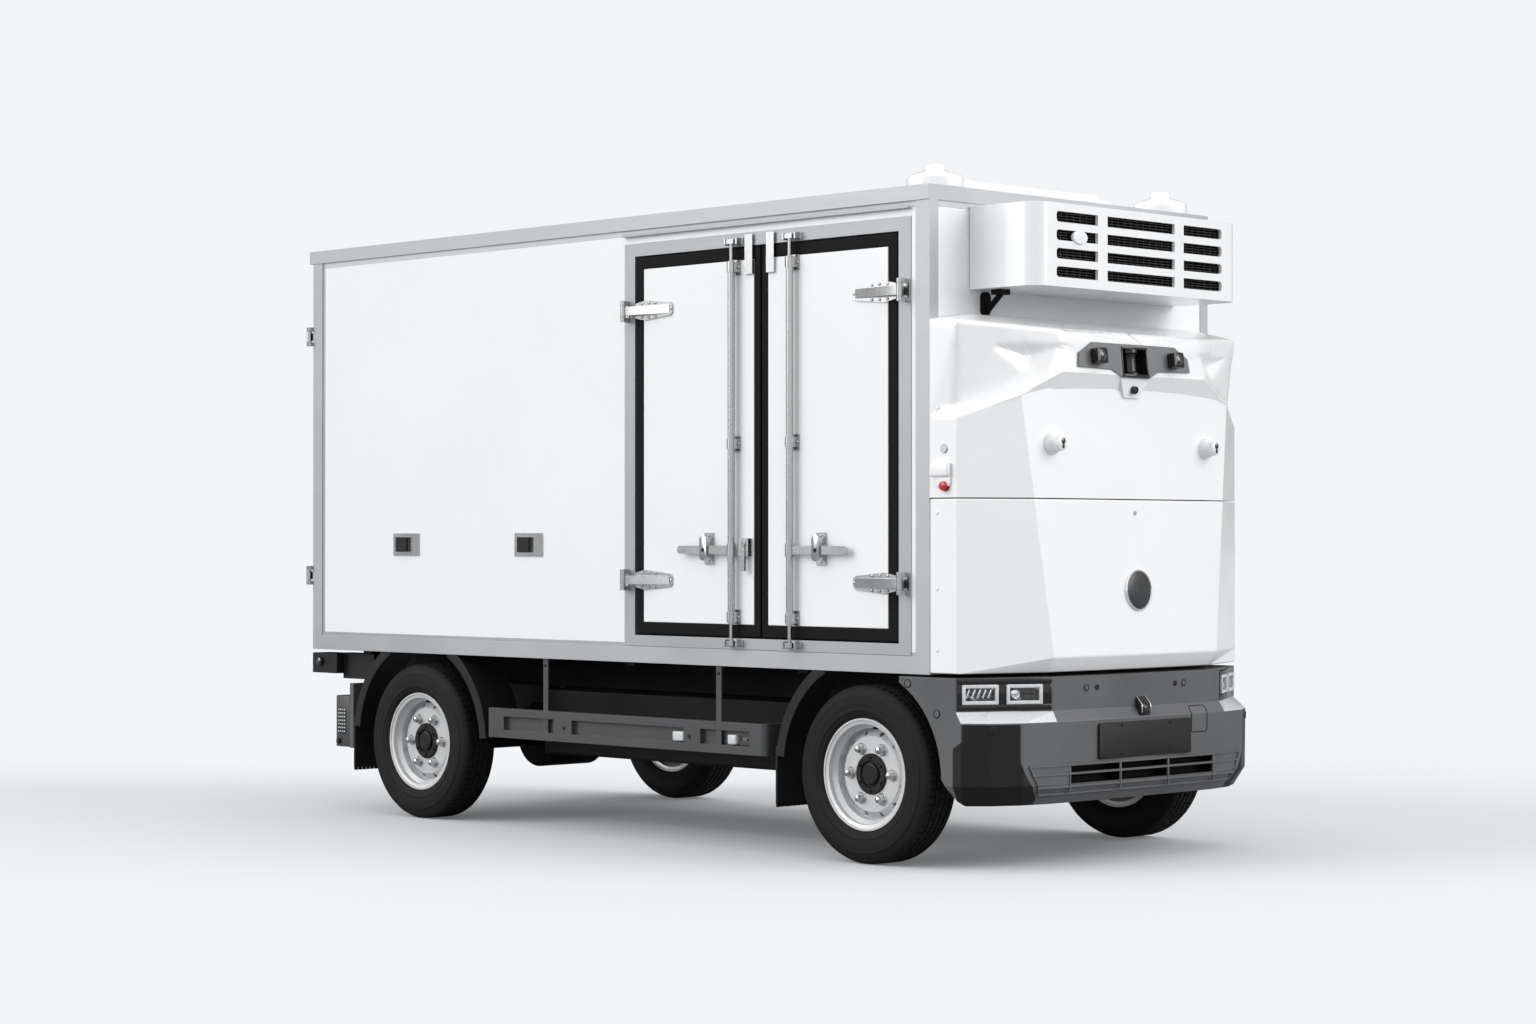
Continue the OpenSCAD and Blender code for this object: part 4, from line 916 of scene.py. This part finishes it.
    def cover_line(self, bm):
        """Outline of the tow cover, in short steps that follow the bumper's curve."""
        corners = [(y, z) for z, y in rounded(0.104, 0.104, 0.012, 4)]
        outline = []
        for (y0, z0), (y1, z1) in zip(corners, corners[1:] + corners[:1]):
            parts = max(1, round(math.hypot(y1 - y0, z1 - z0) / self.COVER_STEP))
            outline += [(y0 + (y1 - y0) * i / parts, z0 + (z1 - z0) * i / parts) for i in range(parts)]
        spots = [ahead("bumper", self.COVER_Y + y, self.COVER_Z + z) for y, z in outline]
        middle = Vector((0, self.COVER_Y, self.COVER_Z))
        rises = [(Vector((0, p.y, p.z)) - middle).normalized() for p, _ in spots]
        ribbon(bm, spots, rises, 0.0022, 0.0012, 0.003, closed=True)


class VAN_OT_lamps(bpy.types.Operator):
    """Headlamps with bezels and lenses, and tail lamps"""

    bl_idname = "van.lamps"
    bl_label = "Lamps"

    RIM, PANEL_H = 0.014, 0.061
    REFLECTOR = ((0.0, -0.026), (0.016, -0.024), (0.018, -0.012), (0.015, -0.010), (0.013, -0.014), (0.0, -0.010))
    TAIL_DOTS = (4, 7)

    def execute(self, context):
        panels, bezels, wells, fins, glass = fresh(5)
        (ax, ay), (bx, by) = LAMP_ENDS
        for side in SIDES:
            start, end = Vector((ax, side * ay, LAMP_Z)), Vector((bx, side * by, LAMP_Z))
            along = (end - start).normalized()
            out = Vector((abs(along.y), side * along.x, 0))
            turn = Matrix((along, Vector((0, 0, 1)), out)).transposed().to_4x4()
            self.panel(panels, Matrix.Translation((start + end) / 2) @ turn, (end - start).length)
            for index, part in enumerate(LAMP_PLACES):
                at = Matrix.Translation(start.lerp(end, part)) @ turn
                self.lamp(at, index, bezels, wells, fins, glass)
        made = piece("lamp_bezels", bezels, "lamp_white")
        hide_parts("lamps")
        self.tail_lamps()
        piece("lamp_panels", panels, "gloss_black")
        piece("lamp_wells", wells, "gloss_black")
        piece("lamp_reflectors", fins, "chrome")
        piece("lamp_glass", glass, "clear_lens")
        return {"FINISHED"}

    def panel(self, bm, at, width):
        """Dark panel round the two headlamps, open where they sit."""
        w, h, top = LAMP_W / 2, LAMP_H / 2, self.PANEL_H
        first, second = ((part - 0.5) * width for part in LAMP_PLACES)
        end = width / 2 - 0.006
        for low, high in (((-end, h), (end, top)), ((-end, -top), (end, -h)), ((-end, -h), (first - w, h)),
                          ((first + w, -h), (second - w, h)), ((second + w, -h), (end, h))):
            block(bm, (*low, -0.001), (*high, 0.003), 0.0006, place=at)

    def lamp(self, at, index, bezels, wells, fins, glass):
        """A headlamp: bezel, dark well and lens; slanting fins in the first, a round reflector in the second."""
        w, h, rim = LAMP_W / 2, LAMP_H / 2, self.RIM
        # The uprights of the bezel sit half a millimetre before its long sides, so no faces coincide
        for low, high, back in (((-w, h - rim), (w, h), -0.020), ((-w, -h), (w, -h + rim), -0.020),
                                ((-w, -h), (-w + rim, h), -0.0195), ((w - rim, -h), (w, h), -0.0195)):
            block(bezels, (*low, back), (*high, back + 0.027), 0.003, place=at)
        block(wells, (-w + 0.004, -h + 0.004, -0.034), (w - 0.004, h - 0.004, -0.026), 0.001, place=at)
        block(glass, (-w + rim, -h + rim, -0.003), (w - rim, h - rim, 0.001), 0.001, place=at)
        if index == 0:
            for i in range(5):
                lean = move(-0.042 + 0.021 * i, 0.002, -0.018) @ spun(-24, "Z")
                block(fins, (-0.004, -0.017, -0.008), (0.004, 0.017, 0.006), 0.002, place=at @ lean)
        else:
            turned(fins, self.REFLECTOR, at @ move(-0.030, 0, 0), 28)
            block(wells, (0.0, -0.020, -0.026), (0.052, 0.020, -0.022), 0.002, place=at)

    def tail_lamps(self):
        """Tail lamp boxes: red and white lenses behind, a panel of dots on the outer side."""
        boxes, red, white, inset, dots = fresh(5)
        for side in SIDES:
            inner, outer, gap = side * 0.690, side * 0.840, side * 0.010
            block(boxes, (-1.982, inner, 0.296), (-1.875, outer, 0.536), 0.006, 3)
            for lens, low, high in ((red, 0.378, 0.526), (white, 0.306, 0.370)):
                block(lens, (-1.990, inner + gap, low), (-1.978, outer - gap, high), 0.004, 3)
            plate(inset, rounded(0.066, 0.122, 0.006), -0.002, 0.0015, 0.0005,
                  place=move(-1.935, outer, 0.419) @ spun(-90 * side, "X"))
            columns, lines = self.TAIL_DOTS
            for column in range(columns):
                for line in range(lines):
                    spot = (-1.9575 + 0.015 * column, outer + side * 0.001, 0.368 + 0.017 * line)
                    turned(dots, dome(0.0046, 0.002), aim(spot, (0, side, 0)), 12)
        piece("tail_boxes", boxes, "guard_grey")
        piece("tail_red_lenses", red, "tail_red")
        piece("tail_white_lenses", white, "lamp_white")
        piece("tail_dot_panels", inset, "black_plastic")
        piece("tail_dots", dots, "lamp_white")


class VAN_OT_cooling_unit(bpy.types.Operator):
    """Cooling unit: housing, louvres, pipe and the bare tag"""

    bl_idname = "van.cooling_unit"
    bl_label = "Cooling unit"

    LOUVRES, LOUVRE_Z, LOUVRE_PITCH = 28, 2.256, 0.0105
    TAG = ((0.0, -0.006), (0.044, -0.006), (0.044, 0.004), (0.040, 0.007), (0.0, 0.008))

    def execute(self, context):
        dressed("cooling_shell", "white_moulding", 0.006, 3)
        repaint("cooling_core", "black_plastic")
        dressed("cooling_pipe", "black_rubber", 0.003)
        louvres, tag = fresh(2)
        for i in range(self.LOUVRES):
            z = self.LOUVRE_Z + i * self.LOUVRE_PITCH
            block(louvres, (2.118, -0.530, z), (2.150, 0.530, z + 0.002), 0)
        piece("cooling_louvres", louvres, "louvre_dark")
        turned(tag, self.TAG, move(2.166, -0.380, 2.4305) @ spun(90, "Y") @ Matrix.Diagonal((0.60, 1, 1, 1)), 40)
        piece("bare_tag", tag, "white_moulding")
        return {"FINISHED"}


class VAN_OT_roof(bpy.types.Operator):
    """Roof pods and hatch"""

    bl_idname = "van.roof"
    bl_label = "Roof pieces"

    def execute(self, context):
        dressed("roof_pods", "white_moulding", 0.004, 3, 40)
        dressed("roof_hatch", "white_moulding", 0.012, 4)
        return {"FINISHED"}


class VAN_OT_chassis(bpy.types.Operator):
    """Frame, battery, axles, springs and steering"""

    bl_idname = "van.chassis"
    bl_label = "Chassis"

    def execute(self, context):
        for node in ("frame_rails", "frame_crossmembers", "front_axle", "rear_axle", "leaf_springs",
                     "knuckle_left", "knuckle_right"):
            dressed(node, "chassis_black", 0.003)
        dressed("tie_rod", "stainless", 0.0015)
        dressed("battery_pack", "battery_grey", 0.012, 3)
        return {"FINISHED"}


class VAN_OT_wheels(bpy.types.Operator):
    """Tyres with tread, wheels, nuts and hubs"""

    bl_idname = "van.wheels"
    bl_label = "Wheels"

    # A tyre's side from bead to shoulder, radius and distance from the middle
    SIDEWALL = ((0.2035, 0.069), (0.2215, 0.069), (0.223, 0.080), (0.230, 0.0865), (0.240, 0.0905),
                (0.250, 0.0935), (0.2515, 0.0948), (0.2545, 0.0948), (0.256, 0.0942), (0.268, 0.0962),
                (0.275, 0.0968), (0.290, 0.0962), (0.302, 0.0950), (0.3035, 0.0958), (0.3065, 0.0955),
                (0.308, 0.0938), (0.320, 0.0900), (0.332, 0.0860), (0.340, 0.0800), (0.346, 0.0730),
                (0.349, 0.0660), (0.350, 0.0600))
    GROOVES, GROOVE_R = (0.042, 0.014, -0.014, -0.042), 0.343
    PITCH_STEPS = 5
    NUT = ((0.0145, 0.052), (0.0145, 0.0585), (0.012, 0.064), (0.006, 0.067), (0.0, 0.0675))
    WASHER = ((0.024, 0.034), (0.024, 0.038), (0.0215, 0.041), (0.018, 0.041))
    HUB_BOLT, HUB_BOLT_R = ((0.0065, 0.043), (0.0065, 0.0505), (0.005, 0.052), (0.0, 0.052)), 0.065
    VALVE = ((0.005, 0.0), (0.005, 0.030), (0.004, 0.038), (0.0, 0.039))

    def execute(self, context):
        for name, x, side in WHEELS:
            place = move(x, side * WHEEL_Y, TYRE_R) @ spun(-90 * side, "X")
            self.tyre(name, place)
            repaint("wheel_" + name, "silver_wheel")
            repaint("hub_" + name, "hub_black")
            self.fittings(name, place)
        return {"FINISHED"}

    def tyre(self, name, place):
        """Tyre with moulded sidewall rings, long grooves and cross grooves."""
        s = sizes()
        profile = list(self.SIDEWALL)
        for g in self.GROOVES:
            profile += [(TYRE_R, g + 0.0042), (self.GROOVE_R, g + 0.0030), (self.GROOVE_R, g - 0.0030),
                        (TYRE_R, g - 0.0042)]
        profile += [(r, -h) for r, h in reversed(self.SIDEWALL)]
        steps = s.tread_pitches * self.PITCH_STEPS
        part = lathe(profile + profile[:1], steps)
        bmesh.ops.recalc_face_normals(part, faces=part.faces)
        cut = [face for face in part.faces if self.is_cut(face.calc_center_median(), steps)]
        sunk = bmesh.ops.extrude_face_region(part, geom=cut)
        for v in (v for v in sunk["geom"] if isinstance(v, bmesh.types.BMVert)):
            reach = math.hypot(v.co.x, v.co.y)
            v.co.x *= 1 - s.tread_depth / reach
            v.co.y *= 1 - s.tread_depth / reach
        bmesh.ops.delete(part, geom=cut, context="FACES_ONLY")
        bm = bmesh.new()
        join(bm, part, place)
        made = piece("tyre_" + name + "_tread", bm, "tyre", name + "_wheel", sharp=32)
        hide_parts("tyre_" + name)

    def is_cut(self, c, steps):
        """Whether a face lies in a cross groove: at each pitch on a shoulder, each second on a rib."""
        r, h = math.hypot(c.x, c.y), abs(c.z)
        pitch = (math.degrees(math.atan2(c.y, c.x)) % 360) / 360 * steps
        shift = 2 if c.z > 0 else 0
        shoulder = r > 0.3445 and h > 0.047 and int(pitch + shift) % self.PITCH_STEPS == 0
        rib = r > 0.3495 and h < 0.040 and int(pitch) % (2 * self.PITCH_STEPS) == (6 if h < 0.012 else 3)
        return shoulder or rib

    def fittings(self, name, place):
        """Domed nut ends with washers, hub bolts, valve."""
        nuts, cap, valve = fresh(3)
        for i in range(STUDS):
            at = place @ spun(360 * i / STUDS, "Z") @ move(STUD_R, 0, 0)
            turned(nuts, self.NUT, at, 20)
            turned(nuts, self.WASHER, at, 24)
            turned(cap, self.HUB_BOLT, place @ spun(360 * (i + 0.5) / STUDS, "Z") @ move(self.HUB_BOLT_R, 0, 0), 6)
        turned(valve, self.VALVE, place @ spun(75, "Z") @ move(0.190, 0, 0.040), 12)
        piece("nuts_" + name, nuts, "stainless", name + "_wheel")
        piece("hub_cap_" + name, cap, "hub_black", name + "_wheel")
        piece("valve_" + name, valve, "black_rubber", name + "_wheel")


class VAN_OT_guards(bpy.types.Operator):
    """Side guards, mudguards with toothed flaps, marker lamps"""

    bl_idname = "van.guards"
    bl_label = "Guards"

    OUTER_Y, DEPTH = 0.861, 0.024
    TEETH, TOOTH_Y, TOOTH_PITCH = 9, 0.668, 0.023
    LAMP_XS = ((0.372, 0.439), (0.703, 0.753))
    # Bolts of the guard: place along it, radius, how far they sit behind its face
    BOLTS = ((-0.315, 0.010, 0.001), (0.478, 0.010, 0.001), (0.775, 0.006, 0.011), (0.815, 0.006, 0.011))
    HANGER_XS = (-0.445, 0.647)

    def execute(self, context):
        dressed("side_guards", "guard_grey", 0.003)
        dressed("mudguards", "black_plastic", 0.0025)
        teeth, lamps, clips, bolts = fresh(4)
        for side in SIDES:
            for x in (AXLE_X, REAR_AXLE_X):
                for i in range(self.TEETH):
                    y = side * (self.TOOTH_Y + self.TOOTH_PITCH * i)
                    block(teeth, (x - 0.485, y - 0.0075, 0.194), (x - 0.474, y + 0.0075, 0.212), 0.001)
            out = side * self.OUTER_Y
            inner = out - side * self.DEPTH
            for low, high in self.LAMP_XS:
                block(lamps, (low, inner, 0.432), (high, out, 0.472), 0.007, 4)
            block(clips, (0.764, inner, 0.430), (0.829, out - side * 0.010, 0.462), 0.002)
            for x, r, behind in self.BOLTS:
                turned(bolts, dome(r, 0.004), aim((x, out - side * behind, 0.455), (0, side, 0)), 18)
            for x in self.HANGER_XS:
                turned(bolts, dome(0.007, 0.004), aim((x, side * 0.855, 0.720), (0, side, 0)), 16)
        piece("flap_teeth", teeth, "black_rubber")
        piece("marker_lamps", lamps, "lamp_white")
        piece("guard_clips", clips, "guard_grey")
        piece("guard_bolts", bolts, "black_plastic")
        return {"FINISHED"}


class VAN_OT_tail(bpy.types.Operator):
    """Rear bumper and rear sensor pods"""

    bl_idname = "van.tail"
    bl_label = "Tail"

    SIDE_LENS = ((0.017, -0.003), (0.017, 0.001), (0.011, 0.004), (0, 0.005))
    BACK_LENS = ((0.014, -0.003), (0.014, 0.001), (0.009, 0.003), (0, 0.004))

    def execute(self, context):
        dressed("rear_bumper", "dark_grey_paint", 0.004)
        dressed("rear_sensor_pods", "black_plastic", 0.006, 3)
        lens, nubs = fresh(2)
        for side in SIDES:
            out = (0, side, 0)
            turned(lens, self.SIDE_LENS, aim((-2.096, side * 0.857, 0.692), out), 28)
            turned(lens, self.BACK_LENS, aim((-2.160, side * 0.792, 0.690), (-1, 0, 0)), 28)
            turned(nubs, button(0.013, 0.012, 0.003), aim((-1.955, side * 0.840, 0.322), out), 24)
        piece("rear_lenses", lens, "dark_lens")
        piece("rear_nubs", nubs, "black_plastic")
        return {"FINISHED"}


class VAN_OT_stage(bpy.types.Operator):
    """Pale floor, soft light and the camera"""

    bl_idname = "van.stage"
    bl_label = "Stage"

    FLOOR_SIZE, SUN_SPREAD = 160.0, 45
    # Where the two suns stand, and where mirrored light is brightest
    SIDE_SUN, FRONT_SUN, BRIGHT = (-0.50, -0.75, 0.43), (0.78, 0.45, 0.43), (0.64, -0.62, 0.45)
    # The camera as fitted to the reference picture: place, turn and tilt in degrees
    CAMERA_AT, CAMERA_TURN, CAMERA_TILT = (9.8061, -9.5536, 1.2678), 45.5609, 0.5089

    def execute(self, context):
        scene = context.scene
        floor = bmesh.new()
        bmesh.ops.create_grid(floor, x_segments=8, y_segments=8, size=self.FLOOR_SIZE)
        made = linked("studio_floor", mesh_of("studio_floor", floor))
        made.data.materials.append(finish("studio_floor"))
        self.sky(scene)
        self.sun("side_sun", self.SIDE_SUN, sizes().side_light)
        self.sun("front_sun", self.FRONT_SUN, sizes().front_light)
        camera = bpy.data.cameras.new("camera")
        camera.sensor_width, camera.lens, camera.clip_end = 36.0, sizes().camera_lens, 500
        scene.camera = linked("camera", camera)
        turn, tilt = math.radians(self.CAMERA_TURN), math.radians(self.CAMERA_TILT)
        look = Vector((-math.sin(turn) * math.cos(tilt), math.cos(turn) * math.cos(tilt), math.sin(tilt)))
        scene.camera.matrix_world = move(*self.CAMERA_AT) @ look.to_track_quat("-Z", "Y").to_matrix().to_4x4()
        scene.view_settings.view_transform = "Standard"
        scene.view_settings.look = "None"
        return {"FINISHED"}

    def sky(self, scene):
        """Studio light that falls from above more than from the sides, before an even backdrop."""
        scene.world = bpy.data.worlds.new("studio")
        g = Graph(scene.world, "Generated")
        seen = g.tree.nodes["Background"]
        seen.inputs["Color"].default_value = rgba(BACKDROP)
        height = g.node("SeparateXYZ", {0: g.place}).outputs["Z"]
        fall = g.spread(height, sizes().sky_low, sizes().sky_high, 0.0, 0.9)
        whole = g.node("Background", {"Color": (0.985, 0.995, 1.0, 1), "Strength": fall}).outputs[0]
        # What shiny faces mirror is brightest above the camera and dark behind the van
        facing = g.node("VectorMath", {0: g.place, 1: self.BRIGHT}, operation="DOT_PRODUCT").outputs["Value"]
        mirrored = g.node("Background", {"Strength": g.spread(facing, 0.10, 1.5, -0.8, 0.9)}).outputs[0]
        path = g.node("LightPath").outputs
        for ray, other in (("Is Glossy Ray", mirrored), ("Is Camera Ray", seen.outputs[0])):
            whole = g.node("MixShader", {0: path[ray], 1: whole, 2: other}).outputs[0]
        g.feed(g.tree.nodes["World Output"].inputs["Surface"], whole)

    def sun(self, name, toward, strength):
        """A soft distant light from the given direction."""
        light = bpy.data.lights.new(name, "SUN")
        light.energy, light.angle = strength, math.radians(self.SUN_SPREAD)
        linked(name, light).rotation_euler = Vector(toward).to_track_quat("Z", "Y").to_euler()


STEPS = (VAN_OT_box, VAN_OT_doors, VAN_OT_nose, VAN_OT_sensors, VAN_OT_bumper, VAN_OT_lamps, VAN_OT_cooling_unit,
         VAN_OT_roof, VAN_OT_chassis, VAN_OT_wheels, VAN_OT_guards, VAN_OT_tail, VAN_OT_stage)


class VAN_PT_panel(bpy.types.Panel):
    """Lists the steps that dress the van"""

    bl_idname = "VAN_PT_panel"
    bl_label = "Refrigerated van"
    bl_space_type = "VIEW_3D"
    bl_region_type = "UI"
    bl_category = "Van"

    def draw(self, context):
        for step in STEPS:
            self.layout.operator(step.bl_idname)
        for group in (context.scene.van_finishes, context.scene.van_sizes):
            for name in group.bl_rna.properties.keys():
                if name not in ("rna_type", "name"):
                    self.layout.prop(group, name)


CLASSES = (VAN_PG_finishes, VAN_PG_sizes, *STEPS, VAN_PT_panel)


def register():
    for item in CLASSES:
        bpy.utils.register_class(item)
    bpy.types.Scene.van_finishes = PointerProperty(type=VAN_PG_finishes)
    bpy.types.Scene.van_sizes = PointerProperty(type=VAN_PG_sizes)


def unregister():
    del bpy.types.Scene.van_sizes
    del bpy.types.Scene.van_finishes
    for item in reversed(CLASSES):
        bpy.utils.unregister_class(item)


def main():
    register()
    for step in STEPS:
        group, name = step.bl_idname.split(".")
        getattr(getattr(bpy.ops, group), name)()


if __name__ == "__main__":
    main()
